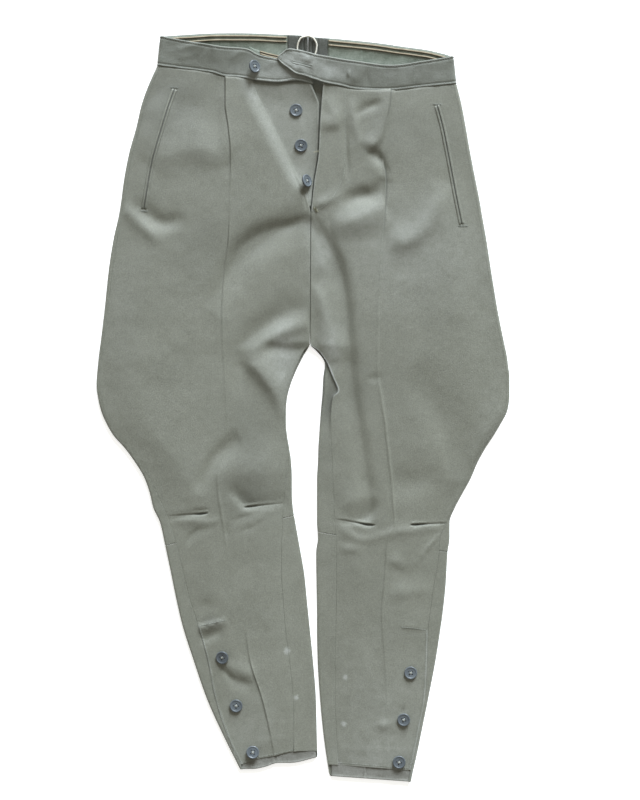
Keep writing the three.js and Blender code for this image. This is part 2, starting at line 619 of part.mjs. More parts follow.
const standGrid = FLY_STAND.map((row) =>
  [0, 0.25, 0.5, 0.75, 1].map((t) => {
    const x = lerp(row.seam + GAP / 2, row.edge, t);
    const y = row === FLY_STAND[0] ? lineAt(RIGHT_WAIST_SEAM, x) - CHORD_GAP : row.y;
    const z = topHeight(right, x, row.y);
    return [[x, y, z], [x, y, z - CLOTH]];
  }),
);
breeches.add(thinSolid('fly_stand', standGrid, outerCloth()));

breeches.add(waistband('waistband_right', RIGHT_BAND_FRONT, RIGHT_BAND_BACK, BAND_SIDES.right, 1, outerCloth()));
breeches.add(waistband('waistband_left', LEFT_BAND_FRONT, LEFT_BAND_BACK, BAND_SIDES.left, -1, outerCloth()));

const liningTop = CLOTH + GAP + LINING;
const cordTop = liningTop + GAP + LINING;
const liningRuns = {
  right: { edge: RIGHT_BAND_BACK, from: -182, to: -20.5, corner: -19.5, centre: 6.35 },
  left: { edge: LEFT_BAND_BACK, from: 192, to: 32.5, corner: 31.5, centre: 6.65 },
};
const CORD_DEPTHS = [4, 9.2];
for (const [name, run] of Object.entries(liningRuns)) {
  const inside = (piece, from, to, steps, depths, z, material) =>
    insideStrip(`${piece}_${name}`, run.edge, from, to, steps, depths, z, LINING, material);
  breeches.add(inside('waist_lining', run.from, run.to, 6, [2, 36], liningTop, liningCloth()));
  CORD_DEPTHS.forEach((depth, k) => {
    const depths = [depth, depth + CORD];
    breeches.add(inside(`waist_cord_${k + 1}`, run.from, run.to, 6, depths, cordTop, cloth(TAN)));
  });
  breeches.add(inside('centre_back_facing', run.corner, run.centre, 2, [1, 36], liningTop, outerCloth()));
}

const bandLiningRows = namedRows(BAND_COLUMNS, [
  [-70, 462, -70, 469.5, 6.2],
  [-57, 455, -58, 464.5, 6.2],
  [-42, 451, -44, 460.5, 6.2],
  [-29, 450, -29, 457, 6.2],
]);
breeches.add(strip('front_band_lining', bandLiningRows, LINING, liningCloth()));

for (const [name, mouth] of Object.entries(POCKETS)) {
  const near = GAP / 2;
  breeches.add(pocketJet(`pocket_jet_outer_${name}`, legs[name], mouth, near, JET, outerCloth()));
  breeches.add(pocketJet(`pocket_jet_inner_${name}`, legs[name], mouth, -JET, -near, outerCloth()));
}

breeches.add(hemFacing('hem_facing_right', right, RIGHT_HEM, RIGHT_BACK_HEM, liningCloth()));
breeches.add(hemFacing('hem_facing_left', left, LEFT_HEM, LEFT_BACK_HEM, liningCloth()));

for (const row of BUTTONS) {
  const slate = new THREE.MeshStandardMaterial({ color: SLATE, roughness: 0.35, metalness: 0 });
  const button = namedMesh(row.name, buttonGeometry(), slate);
  const tilt = THREE.MathUtils.degToRad(row.tilt);
  const surface = row.name === 'button_waist' ? RIGHT_BAND_FRONT[0].z : topHeight(legs[row.leg], row.x, row.y);
  const flatEdge = (BUTTON_RADIUS - BUTTON_BEVEL) * Math.sin(tilt);
  const sideEdge = BUTTON_RADIUS * Math.sin(tilt) - BUTTON_BEVEL * Math.cos(tilt);
  const lift = Math.max(flatEdge, sideEdge) + BUTTON_LIFT;
  button.position.set(row.x, row.y, surface + lift);
  button.rotation.set(0, tilt, THREE.MathUtils.degToRad(row.turn), 'ZYX');
  breeches.add(button);
}

const loopCurve = new THREE.CatmullRomCurve3(LOOP_PATH.map(([x, y]) => new THREE.Vector3(x, y, 0)), true);
const loopGeometry = new THREE.TubeGeometry(loopCurve, 40, WIRE / 2, 8, true);
const loopMaterial = new THREE.MeshStandardMaterial({ color: CREAM, roughness: 0.4, metalness: 0 });
const loop = namedMesh('hanging_loop', loopGeometry, loopMaterial);
loop.position.z = liningTop + GAP + WIRE / 2;
breeches.add(loop);

export default breeches;
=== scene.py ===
"""Riding breeches laid flat on a white table, front up, waist towards +Y.

Lengths are millimetres until a mesh is made. Right and left are the wearer's: the right leg lies
on the -X side.
"""

import math

import bpy
import numpy as np
from mathutils import Matrix, Vector


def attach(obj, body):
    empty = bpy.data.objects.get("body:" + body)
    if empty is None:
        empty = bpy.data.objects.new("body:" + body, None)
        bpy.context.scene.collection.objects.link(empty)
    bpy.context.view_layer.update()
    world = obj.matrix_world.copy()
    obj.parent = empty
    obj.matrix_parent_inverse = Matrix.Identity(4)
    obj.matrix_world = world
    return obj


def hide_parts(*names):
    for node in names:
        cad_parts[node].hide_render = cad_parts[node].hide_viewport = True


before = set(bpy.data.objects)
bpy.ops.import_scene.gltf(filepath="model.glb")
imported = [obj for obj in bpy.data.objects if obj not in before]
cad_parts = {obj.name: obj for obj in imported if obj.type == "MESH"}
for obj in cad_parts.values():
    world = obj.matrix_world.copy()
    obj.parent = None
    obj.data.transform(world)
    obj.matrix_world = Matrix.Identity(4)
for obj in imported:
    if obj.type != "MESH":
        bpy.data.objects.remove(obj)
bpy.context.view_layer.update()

# Camera, in metres
CAMERA_HEIGHT = 3.0  # above the garment, so that its edges are seen almost straight on
SENSOR = 36  # width of its sensor in millimetres
VIEW_LENGTH = 1.04  # how much of the table it sees from top to bottom
VIEW_MIDDLE = (0.0221, 0.0098)
CLOTH_LEVEL = 0.008  # height of most of the cloth, where that length is measured


def link(item):
    bpy.context.scene.collection.objects.link(item)


camera_data = bpy.data.cameras.new("camera")
camera_data.sensor_width = SENSOR
camera_data.lens = SENSOR * CAMERA_HEIGHT / VIEW_LENGTH
camera = bpy.data.objects.new("camera", camera_data)
camera.location = (*VIEW_MIDDLE, CLOTH_LEVEL + CAMERA_HEIGHT)
link(camera)
bpy.context.scene.camera = camera

# Sizes that the cut pieces share
MM = 0.001
CLOTH = 1.5  # wall of the outer cloth
LINING = 1.0  # wall of linings and facings
BAND = 2.2  # wall of the waistband, which is cloth over a stiff lining
SEAM_GAP = 0.1  # between two pieces at a seam
THINNEST = 0.15  # what is left of a wall under a rounded edge
ROUNDS = 4  # how often rows and columns are fitted to each other
INNER_ROLL = 1.9  # outer radius of the soft fold down the inside of a leg
CROWN_REACH = 60  # how far from a fold the front takes to rise to its crown
EASE = 80  # how far the slope of a waist seam or hem is felt along the leg
BACK_BAND = 39  # height of the waistband at the back
LOWEST_FRONT = 3.3  # the front stays this high above the table
BUTTON_RADIUS = 8.3
# Heights of the legs' upper ends, of the seams behind the knees and of the hems, on the outer side
RIGHT_TOP = 444
LEFT_TOP = 420.5
RIGHT_KNEE = -180
LEFT_KNEE = -188
RIGHT_FRONT_FOOT = -466
LEFT_FRONT_FOOT = -473
RIGHT_BACK_FOOT = -471
LEFT_BACK_FOOT = -487.5
# Heads of the closures on the calves, where each front begins to lap over its back
RIGHT_CLOSURE = -280
LEFT_CLOSURE = -288
FLY_FOOT = 262  # where the button stand begins
STAND_TOP = 427  # where it ends, under the waistband
CENTRE_BACK = 6.5  # x of the seam at the back of the waist

# One row per cross-section of a leg, from the waist down: y, the outer fold, the front panel's
# outer edge, the crease, the front panel's inner edge, the inner fold, then the radius of the outer
# fold, the height that the front stands above its folds, how far the centre front is drawn down,
# and how far the inside of the leg is folded.
LEG_COLUMNS = (
    "y", "outer", "outer_seam", "crease", "inner_seam", "inner", "roll", "crown", "bind", "closed",
)
RIGHT_LEG = [
    (444, -190, -185, -102, -69, 6, 4, 0.2, 0, 0),
    (420, -201, -196, -101, -64, 6, 4, 0.6, 0, 0),
    (395, -210, -205, -101, -53, 6, 4, 1.2, 0, 0),
    (365, -217, -212, -97, -38, 6.2, 3.8, 1.8, 0, 0),
    (331, -226.5, -221.5, -94, -21, 6.5, 3.6, 2.2, 0, 0),
    (297, -233, -228, -94, -5, 7, 3.4, 2.6, 0, 0),
    (267, -237, -232, -94.5, 7, 7.5, 3.3, 3, 0, 0),
    (252, -239.5, -235, -95, 9.9, 7.7, 3.2, 3.2, 0.15, 0),
    (218, -247, -242, -97, 9.7, 7.8, 3.1, 3.4, 0.35, 0),
    (179, -253, -248, -102, 9.4, 8, 3, 3.5, 0.6, 0),
    (127, -258.5, -254, -105, 9.1, 8.4, 3, 3.5, 0.85, 0),
    (82, -264, -260, -104, 8.8, 8.8, 2.9, 3.5, 1, 0),
    (75, -265, -261, -103.7, 2, 4, 2.9, 3.5, 1, 0.35),
    (62, -266.5, -262, -103, -4.7, -2.6, 2.9, 3.5, 1, 0.8),
    (46, -268, -264, -102, -12.1, -10, 2.8, 3.5, 1, 1),
    (29, -269, -265, -101, -18.6, -16.5, 2.8, 3.5, 1, 1),
    (10, -266.5, -262, -100, -23.1, -21, 2.8, 3.5, 1, 1),
    (-6, -262.5, -258, -99, -24.1, -22, 2.8, 3.5, 1, 1),
    (-21, -256, -252, -98, -24.1, -22, 2.8, 3.5, 1, 1),
    (-37, -246.5, -242, -99, -22.7, -20.5, 2.8, 3.4, 1, 1),
    (-52, -233, -229, -101, -20.5, -18, 2.8, 3.3, 1, 1),
    (-71, -219, -215, -106, -19, -15.3, 2.8, 3.2, 1, 1),
    (-92, -206.5, -200, -111, -22, -14.3, 2.8, 3.1, 1, 1),
    (-112, -199.5, -190, -110, -24.3, -14.3, 2.8, 3, 1, 1),
    (-131, -195, -181, -107, -26, -13, 2.8, 3, 1, 1),
    (-149, -186.5, -174, -104, -26.5, -10, 2.8, 3, 1, 1),
    (-180, -179.5, -164, -100, -28, -4.5, 2.8, 2.8, 1, 1),
    (-218, -171.5, -155, -94, -28, 2, 2.7, 2.6, 1, 1),
    (-250, -165, -147, -85, -26, 5.2, 2.7, 2.4, 1, 1),
    (-284, -157, -136.5, -75, -23.4, 8.6, 2.7, 2.2, 1, 1),
    (-328, -143, -124.5, -69, -18, 13, 2.6, 2, 1, 1),
    (-380, -125, -114, -53, -13, 17, 2.6, 1.6, 1, 1),
    (-432, -101.5, -96.5, -41, -12, 18.3, 2.5, 1.2, 1, 1),
    (-466, -84.5, -80.5, -36, -12, 19.5, 2.5, 1, 1, 1),
    (-471, -82, -78.5, -36, -12, 20, 2.5, 1, 1, 1),
]
LEFT_LEG = [
    (420.5, 200, 195, 114.5, 26, 6.6, 4, 0.2, 0, 0),
    (394.5, 206.5, 201.5, 112.5, 23.8, 6.6, 4, 0.8, 0, 0),
    (365, 212, 207, 106.5, 21.7, 6.6, 3.8, 1.6, 0, 0),
    (331, 218, 213, 103, 20.3, 6.8, 3.6, 2.2, 0, 0),
    (295, 225, 220, 107.5, 14.8, 7.1, 3.4, 2.6, 0, 0),
    (267, 230.5, 225.5, 107, 11.7, 7.6, 3.3, 3, 0, 0),
    (252, 233, 228, 106, 10.3, 7.8, 3.2, 3.2, 0.15, 0),
    (218, 239, 234, 103.5, 10.1, 7.9, 3.1, 3.4, 0.35, 0),
    (179, 245, 240, 101.5, 9.8, 8.1, 3, 3.5, 0.6, 0),
    (127, 253.5, 249, 98, 9.5, 8.5, 3, 3.5, 0.85, 0),
    (82, 262.5, 258, 97.5, 9.2, 9.2, 2.9, 3.5, 1, 0),
    (75, 264, 260, 97.5, 19.1, 17, 2.9, 3.5, 1, 0.35),
    (62, 266.5, 262, 97.5, 29.1, 27, 2.9, 3.5, 1, 0.8),
    (56, 267, 263, 97.5, 32.5, 28.5, 2.9, 3.5, 1, 1),
    (40, 269, 265, 97.5, 39, 26.4, 2.8, 3.5, 1, 1),
    (21, 269, 265, 100.5, 46, 25.5, 2.8, 3.5, 1, 1),
    (15, 269, 265, 101.5, 39.7, 25, 2.8, 3.5, 1, 1),
    (-3, 266.5, 262, 104, 36.8, 23.4, 2.8, 3.5, 1, 1),
    (-21, 257.5, 253, 107, 35.9, 22, 2.8, 3.5, 1, 1),
    (-37, 248, 244, 108.5, 36.4, 21, 2.8, 3.4, 1, 1),
    (-52, 238, 234, 110.5, 37.3, 20, 2.8, 3.3, 1, 1),
    (-71, 227.5, 223, 112.5, 38, 19.5, 2.8, 3.2, 1, 1),
    (-92, 218.5, 214, 115, 39, 18.2, 2.8, 3.1, 1, 1),
    (-112, 207.5, 203, 116.5, 39.8, 18.2, 2.8, 3, 1, 1),
    (-131, 197.5, 193.5, 118, 40.3, 18.2, 2.8, 3, 1, 1),
    (-149, 191, 187, 119, 41, 18.2, 2.8, 3, 1, 1),
    (-170, 191, 178, 110.5, 43, 19.5, 2.8, 2.9, 1, 1),
    (-188, 188.5, 177, 108.5, 43.3, 17, 2.8, 2.8, 1, 1),
    (-230, 186, 170.5, 105.5, 43.5, 17.6, 2.7, 2.6, 1, 1),
    (-268, 182, 165, 102.5, 43, 18.2, 2.7, 2.4, 1, 1),
    (-289, 179, 162.5, 103.5, 42.2, 18.2, 2.7, 2.2, 1, 1),
    (-328, 173, 161.5, 106.5, 41.6, 19, 2.6, 2, 1, 1),
    (-375, 164, 159, 109, 41.6, 21.8, 2.6, 1.6, 1, 1),
    (-417, 155.5, 151.5, 109.5, 43, 25.6, 2.5, 1.3, 1, 1),
    (-458, 147, 143.3, 110, 45.5, 31, 2.5, 1, 1, 1),
    (-473, 143.5, 140, 110, 46, 33.5, 2.5, 1, 1, 1),
    (-487.5, 140.5, 137, 110, 47, 36, 2.5, 1, 1, 1),
]

# Edges across the legs as (x, y), from -X to +X
RIGHT_WAIST_SEAM = [
    (-190, 444), (-120, 435), (-102, 430), (-82, 428.5), (-57, 424.5), (-32, 422.5), (-8, 425),
    (5, 424), (14, 420),
]
LEFT_WAIST_SEAM = [(26, 422), (34, 420.5), (70, 413), (112, 411.5), (155, 416), (200, 420.5)]
RIGHT_KNEE_SEAM = [(-182, -180), (-10, -140.5)]
LEFT_KNEE_SEAM = [(18, -162), (190, -188)]
RIGHT_HEM = [(-82, -466), (-59, -458), (-38, -454), (-17, -449), (0, -447.5), (19.5, -447.5)]
LEFT_HEM = [(33, -465), (143.5, -473)]
RIGHT_BACK_HEM = [(-81, -471), (-66, -471), (-51, -468.5), (-32, -463), (-17, -463), (20.5, -455)]
LEFT_BACK_HEM = [(35, -480), (140.5, -487.5)]

# Height of the pressed crease and of the step beside it, as (y, ridge, step). A positive step lifts
# the cloth on the crease's inner side, as a waist pleat does, and a negative one the cloth on its
# outer side.
RIGHT_CREASE = [
    (-480, 0.2, 0.2), (-440, 0.3, 0.5), (-380, 0.5, 0.8), (-345, 0.6, 0.8), (-318, 0.45, 0.55),
    (-300, 0.35, 0.5), (-290, 0.1, 0), (-200, 0.05, 0), (-130, 0.6, 0.3), (-90, 0.5, 0.3),
    (-60, 0.3, 0), (0, 0.15, 0), (50, 0.2, 0.3), (100, 0.3, 0.5), (225, 0.4, 0.8), (270, 0.2, 0.3),
    (300, 0.3, 0.6), (330, 0.3, 0.95), (430, 0.3, 1.2),
]
LEFT_CREASE = [
    (-490, 0.1, 0), (-400, 0.15, -0.1), (-300, 0.3, -0.5), (-200, 0.3, -0.6), (-145, 0.7, 0),
    (-100, 0.9, 0.1), (-50, 0.9, 0.2), (0, 0.8, 0.2), (40, 0.3, 0.4), (100, 0.3, 0.4),
    (200, 0.4, 0.6), (250, 0.4, 1), (280, 0.5, 1.5), (310, 0.5, 1.5), (325, 0.2, 0.2), (345, 0, 0),
    (385, 0.1, 1), (420, 0.2, 1.4),
]

# Folds that lie in the cloth: (width on the left, width on the right, [(x, y, height), ...]), where
# left and right are seen along the fold's line, from its first point to its last. A hollow has a
# negative height.
FOLDS = [
    # hip, the ridge beside the right pocket
    (34, 21, [(-199, 311, 0), (-178, 327, 2.6), (-147, 339, 4), (-118, 333, 3.5), (-96, 317, 0)]),
    # hollow below the right waist seam
    (14, 16, [(-179, 400, 0), (-147, 392, -1.3), (-108, 389, 0)]),
    # hollow below the right pocket
    (10, 10, [(-222, 270, 0), (-204, 254, -2), (-188, 242, -3.3), (-173, 241, -3), (-152, 249, 0)]),
    # ridge below the right pocket
    (9, 9, [(-248, 270, 0), (-228, 254, 2), (-199, 227, 2.3), (-186, 211, 0)]),
    # long hollow from the foot of the fly
    (13, 24, [
        (-122, 128, 0), (-106, 152, -3), (-94, 178, -5.5), (-80, 202, -7.4), (-63, 218, -7.8),
        (-43, 228, -6.9), (-20, 235, -4.6), (3, 242, -1.6), (12, 246, 0),
    ]),
    # its sharp end beside the foot of the fly
    (5, 9, [(-52, 229, 0), (-34, 234, -1.2), (-16, 238.5, -2), (2, 244, -1.8), (11, 248, 0)]),
    # hollow across the inner right thigh
    (16, 16, [
        (-81, 10, 0), (-80, 49, -2.8), (-69, 80, -4.8), (-47, 104, -4.4), (-17, 125, -2.4),
        (7, 135, 0),
    ]),
    # ridge beside it
    (14, 10, [(-74, 64, 0), (-61, 80, 4.4), (-35, 96, 4.8), (0, 109, 2.4), (8, 111, 0)]),
    # sharp hollow at the crotch
    (5, 10, [(-53, 80, 0), (-42, 79, -1.9), (-17, 77, -2.2), (5, 78, -1.7), (9, 79, 0)]),
    # ridge down the inner right thigh
    (22, 10, [(-84, 81, 0), (-72, 64, 4), (-53, 44, 5.7), (-35, 18, 4.8), (-22, -16, 0)]),
    # outer right thigh
    (24, 24, [(-228, -29, 0), (-238, 49, 1.5), (-233, 140, 1.5), (-218, 205, 0)]),
    # hollow above the right knee
    (9, 12, [
        (-137, -113, 0), (-132, -95, -2.2), (-118, -71, -3), (-103, -53, -3.2), (-89, -40, -1.4),
        (-82, -36, 0),
    ]),
    # the right knee
    (26, 20, [
        (-150, -127, 0), (-129, -99, 1.4), (-98, -81, 2.5), (-61, -79, 2.5), (-30, -86, 0.7),
        (-20, -92, 0),
    ]),
    # pit at the right inner dart
    (12, 6, [
        (-98, -102, 0), (-84, -116, -2.5), (-72, -127, -3.6), (-53, -127, -2.2), (-25, -123, -0.8),
        (-20, -122, 0),
    ]),
    # pit at the right outer dart
    (5, 4, [
        (-178, -146, 0), (-170, -144, -0.6), (-147, -139, -1), (-134, -137, -1.7),
        (-126, -135, -0.8), (-120, -132, 0),
    ]),
    # wrinkles under the right darts
    (4, 6, [(-170, -148, 0), (-150, -148, 0.7), (-124, -148, 0.7), (-100, -145, 0)]),
    (4, 6, [(-152, -180, 0), (-148, -170, -0.8), (-138, -161, -0.8), (-113, -155, 0)]),
    (4, 5, [(-98, -150, 0), (-75, -142, -0.7), (-46, -133, 0)]),
    (4, 6, [(-87, -164, 0), (-69, -157, -0.6), (-46, -145, 0)]),
    (3, 3, [(-100, -172, 0), (-99, -162, -0.7), (-98, -149, 0)]),
    # hollow above the right closure
    (10, 10, [(-139, -258, 0), (-121, -258, -0.8), (-100, -255, 0)]),
    # head of the right closure
    (3, 6, [
        (-138, -287.5, 0), (-131, -285.5, 2.1), (-118, -281.6, 2.4), (-105, -278.3, 1.5),
        (-97, -276, 0),
    ]),
    (6, 6, [(-136, -304, 0), (-128, -300, -1.6), (-115, -294, -1.4), (-104, -288, 0)]),
    # drawn in by the right leg's first button
    (10, 7, [(-100, -333, 0), (-84, -341, 1.3), (-69, -347, 1.3), (-61, -352, 0)]),
    (5, 10, [(-105, -335, 0), (-95, -352, -1.2), (-78, -358, -1.7), (-64, -363, 0)]),
    # drag line under the left waist seam
    (6, 5, [(64, 379, 0), (79, 387, -1.6), (92, 393, -2.3), (104, 398, 0)]),
    # beside the left fly edge
    (12, 8, [(20, 363, 0), (35, 369, 2.6), (51, 366, 0)]),
    # along the fly's stitching
    (3.2, 3.2, [(58, 296, 0), (57, 322, -1.8), (56, 354, -1.3), (56, 376, 0)]),
    # the left pleat's ridge
    (14, 5, [
        (83, 332, 0), (90, 340, 3.5), (98, 350, 3.2), (105, 369, 2.6), (110, 392, 1.9),
        (114, 408, 1.6),
    ]),
    # hollow at its foot
    (5, 8, [(82, 330, 0), (92, 331, -3.3), (101, 322, -3.6), (107, 306, -1.8), (108, 289, 0)]),
    # hollow inside the left crease
    (9, 12, [
        (53, 259, 0), (64, 271, -3.6), (77, 276, -5.2), (90, 278, -4.8), (105, 293, -1.6),
        (108, 298, 0),
    ]),
    # ridge below it
    (14, 17, [
        (35, 238, 0), (46, 239.5, 3), (58, 241, 4), (70, 243.5, 4.2), (82, 248.5, 4.2),
        (93, 254, 3.4), (104, 258.5, 2), (109, 260, 0),
    ]),
    # foot of the fly's stitching
    (9, 5, [(13, 262, 0), (25, 265, 2), (38, 272, 1.3), (48, 280, 0)]),
    # ridge outside the left crease
    (18, 12, [
        (108, 215, 0), (126, 215, 3.4), (147, 223, 4.2), (165, 246, 3.4), (179, 272, 1.9),
        (186, 293, 0),
    ]),
    # long fold from the crotch down the left thigh
    (16, 9, [
        (75, -156, 0), (85, -136, -2.8), (82, -99, -3.1), (77, -58, -3.1), (68, -2, -3.5),
        (61, 44, -3.9), (57, 96, -4.9), (54, 141, -5.2), (46, 182, -4.9), (31, 215, -3.9),
        (16, 237, -2.4), (8, 247, 0),
    ]),
    # inner left thigh
    (30, 20, [(14, 78, 0), (32, 73, 1.9), (50, 73, 1.9), (68, 76, 0)]),
    (14, 16, [(12, 158, 0), (25, 166, -1.7), (40, 176, -1), (51, 181, 0)]),
    # where the left crease breaks
    (8, 4, [(82, 36, 0), (95, 37, -1), (105, 38, 0)]),
    # hollow in the left flare
    (30, 20, [(133, 46, 0), (159, 20, -2.4), (181, -16, -3.2), (194, -58, -2.8), (191, -94, 0)]),
    # along the left flare's edge
    (26, 10, [
        (194, -120, 0), (217, -71, 2.4), (240, -42, 3.6), (254, -21, 3.2), (256, 16, 1.2),
        (254, 49, 0),
    ]),
    # hollow above the left outer dart
    (18, 18, [(105, -102, 0), (126, -99, -1.8), (159, -94, -2.1), (186, -86, 0)]),
    # pit at the left inner dart
    (10, 5, [(46, -146, 0), (64, -145, -1.1), (79, -144, -2), (90, -136, -1.6), (98, -120, 0)]),
    # the left knee
    (24, 12, [(43, -127, 0), (61, -120, 1.7), (79, -115, 1.7), (92, -105, 0)]),
    # the left darts
    (3, 3, [
        (40, -148, 0), (55, -150, -0.6), (74, -151, -0.7), (86, -153, -1.1), (92, -151, -0.5),
        (98, -150, 0),
    ]),
    (3, 3, [(142, -154, 0), (146, -153, -1), (152, -151, -0.6), (172, -150, -0.5), (187, -151, 0)]),
    # wrinkles under the left darts
    (6, 7, [
        (46, -157, 0), (56, -162, 1), (69, -170, 1), (87, -171, 0.8), (121, -162, 1),
        (159, -157, 1), (181, -155, 0),
    ]),
    (3, 3, [(152, -196, 0), (165, -179, 1), (178, -162, 0)]),
    (8, 6, [(108, -193, 0), (121, -201, 1), (136, -206, 0)]),
    (8, 14, [(110, -209, 0), (133, -216, -0.8), (162, -209, 0)]),
    (12, 7, [(110, -240, 0), (129, -242, 1.1), (150, -237, 0.6), (165, -229, 0)]),
    (4, 4, [(17, -206, 0), (27, -206, -1), (40, -207, 0)]),
    (6, 5, [(46, -185, 0), (61, -184, 1), (79, -188, 0)]),
    # head of the left closure
    (8, 2, [(126, -284, 0), (131, -285, 0.5), (152, -288, 0.5), (162, -289, 0)]),
    # above the left leg's second button
    (3, 3, [(126, -402, 0), (129, -395, -1.3), (131, -387, 0)]),
    (6, 6, [(92, -411, 0), (105, -413, 1.6), (118, -409, 0)]),
    # ridge beside the centre seam, left leg
    (9, 9, [(14, 160, 0), (24, 138, 2), (29, 108, 2.4), (25, 86, 1), (20, 80, 0)]),
    # rise between the left fly edge and its stitching
    (10, 7, [(28, 405, 0), (36, 392, 1.6), (42, 378, 1.8), (44, 360, 0)]),
    (6, 6, [(64, 404, 0), (66, 380, 1.8), (70, 352, 1.6), (72, 330, 0)]),
    # beside the right pocket
    (16, 16, [(-196, 404, 0), (-188, 388, 1.8), (-200, 356, 1.8), (-212, 318, 0)]),
    # under the right leg's first button
    (4, 4, [(-111, -333, 0), (-103, -342, -1.3), (-94, -351, -1.1), (-87, -354, 0)]),
    # hollow outside the right pleat
    (14, 8, [
        (-110, 322, 0), (-112, 350, -1.3), (-112, 390, -1.7), (-110, 420, -1.2), (-109, 433, 0),
    ]),
]

# Knee darts, and the cut at the head of the right closure, as (x, y, depth). Each dart is sewn shut
# at its shallow end and gaping where it is deepest.
DARTS = [
    [
        (-172, -141, 0.2), (-156, -140, 0.45), (-143, -139, 0.8), (-134, -138.6, 2.2),
        (-126, -137.6, 1.6), (-123, -137, 0),
    ],
    [
        (-78, -130, 0), (-74, -129.8, 1.7), (-66, -128.8, 1.9), (-56, -127.6, 0.9),
        (-42, -126.4, 0.5), (-28, -125, 0.2),
    ],
    [
        (44, -145.6, 0.3), (58, -147.8, 0.6), (70, -150, 1), (81, -152.3, 2.4), (90, -153, 1.8),
        (94, -153, 0),
    ],
    [
        (139, -152.6, 0), (143, -152.5, 2), (152, -152.2, 2.2), (164, -151.6, 0.9),
        (178, -151, 0.6), (190, -150.6, 0.3),
    ],
    [
        (-137, -287.6, 0.4), (-122, -284, 0.8), (-112, -281.3, 0.7), (-104, -279.2, 0.2),
        (-98, -277.6, 0),
    ],
]

# Free edge of the fly's button stand, as (y, x), from its foot up
STAND_EDGE = [
    (262, 10.4), (269, 11.2), (297, 14.2), (331, 19.6), (365, 21), (393, 21.2), (407, 16.5),
    (421, 11), (430, 8),
]

# Front of each waistband half as (low x, low y, top x, top y, height of its low edge, height of its
# top edge)
RIGHT_BAND_FRONT = [
    (13.5, 420.3, 12, 444, 8.2, 8.2),
    (-8, 425.2, -8, 449, 8.2, 8.2),
    (-32, 422.8, -34, 454, 8.3, 8.6),
    (-57, 424.8, -57, 459, 8.4, 9.4),
    (-70, 427, -71, 466, 8.5, 10),
    (-82, 428.8, -82, 467.8, 8.5, 10.6),
    (-102, 430.3, -102, 469, 8.5, 11.4),
    (-120, 435.3, -120, 471.5, 8.5, 11.8),
    (-160, 440.5, -160, 478, 8.5, 11.6),
    (-184, 443.6, -180, 482.4, 8.4, 10.4),
]
LEFT_BAND_FRONT = [
    (-32.5, 452, -33.5, 456, 10.9, 10.9),
    (-27, 446, -27, 461.5, 11, 11.2),
    (-19.5, 440.5, -18, 466.5, 11.2, 11.6),
    (-9, 433, 2, 463.5, 11.4, 11.8),
    (2, 430.3, 16, 459.5, 11.4, 11.6),
    (26, 422.3, 34, 456.3, 11, 11.2),
    (48, 418, 52, 453, 9.6, 11),
    (70, 413.3, 70, 450.4, 8.9, 11),
    (112, 411.8, 114, 445.2, 8.5, 11.4),
    (155, 416.3, 155, 450.4, 8.5, 11.4),
    (194, 420.2, 190, 456, 8.4, 10.4),
]
# Back edge of the waistband as (x, top y), from the side to the centre back
RIGHT_BAND_BACK = [
    (-186, 483), (-150, 485.5), (-116, 487.3), (-73, 487.5), (-36, 486), (-9, 485), (6.35, 484),
]
LEFT_BAND_BACK = [
    (196, 457), (164, 465), (129, 470), (94, 475), (48, 479.7), (17, 482.2), (6.65, 483.8),
]
# Foot and head of each half's fold at the side, as (low x, low y, top x, top y)
RIGHT_BAND_SIDE = (-190, 444.3, -186, 483)
LEFT_BAND_SIDE = (200, 420.8, 196, 457)

# Pocket mouths as (x, y) down their middle
RIGHT_POCKET = [(-167, 414), (-176, 388), (-184.5, 360), (-192, 335), (-198, 311), (-207, 258)]
LEFT_POCKET = [(174, 393), (182, 363), (190.5, 320), (199, 275), (206.5, 238)]

# name, leg, x, y, tilt and turn in degrees
BUTTONS = [
    ("button_waist", "band", -62.8, 442.7, 38, 8),
    ("button_fly_1", "stand", -9, 387, 0, 20),
    ("button_fly_2", "stand", -2.6, 341, 0, -15),
    ("button_fly_3", "stand", 5.0, 294.5, 48, 14),
    ("button_right_leg_1", "right", -105, -325, 14, 215),
    ("button_right_leg_2", "right", -87, -388, 0, 40),
    ("button_right_leg_3", "right", -65.4, -448.5, 9, 80),
    ("button_left_leg_1", "left", 140, -345, 0, 5),
    ("button_left_leg_2", "left", 131, -406, 5, 200),
    ("button_left_leg_3", "left", 125, -461.5, 0, 30),
]

# Hanging loop, seen from above, round the middle of its wire
LOOP_PATH = [
    (-7.3, 466), (-7, 471), (-5.2, 476.5), (-2.2, 480.6), (3, 482.4), (8.5, 482.7), (12.6, 481),
    (15.8, 477), (17.8, 472.5), (17.5, 467), (16.6, 462), (14, 456.8), (9, 453.3), (3, 452.8),
    (-2.5, 455.2), (-6, 460),
]
WIRE = 2.2  # diameter of its wire


def clamped(value, low, high):
    return np.minimum(np.maximum(value, low), high)


def lerp(a, b, t):
    return a + (b - a) * t


def smooth(value):
    t = clamped(value, 0, 1)
    return t * t * (3 - 2 * t)


def monotone(knots, values, at):
    """A smooth line through the knots that never swings past them, held level beyond its ends."""
    knots = np.asarray(knots, float)
    values = np.asarray(values, float)
    spans = np.diff(knots)
    rises = np.diff(values) / spans
    slopes = np.zeros_like(values)
    product = rises[:-1] * rises[1:]
    total = rises[:-1] + rises[1:]
    same_way = product > 0
    slopes[1:-1][same_way] = 2 * product[same_way] / total[same_way]
    slopes[0] = rises[0]
    slopes[-1] = rises[-1]
    at = clamped(np.asarray(at, float), knots[0], knots[-1])
    k = clamped(np.searchsorted(knots, at) - 1, 0, len(spans) - 1).astype(int)
    h = spans[k]
    t = (at - knots[k]) / h
    start = (1 + 2 * t) * (1 - t) ** 2
    end = t * t * (3 - 2 * t)
    return (
        start * values[k]
        + t * (1 - t) ** 2 * h * slopes[k]
        + end * values[k + 1]
        - t * t * (1 - t) * h * slopes[k + 1]
    )


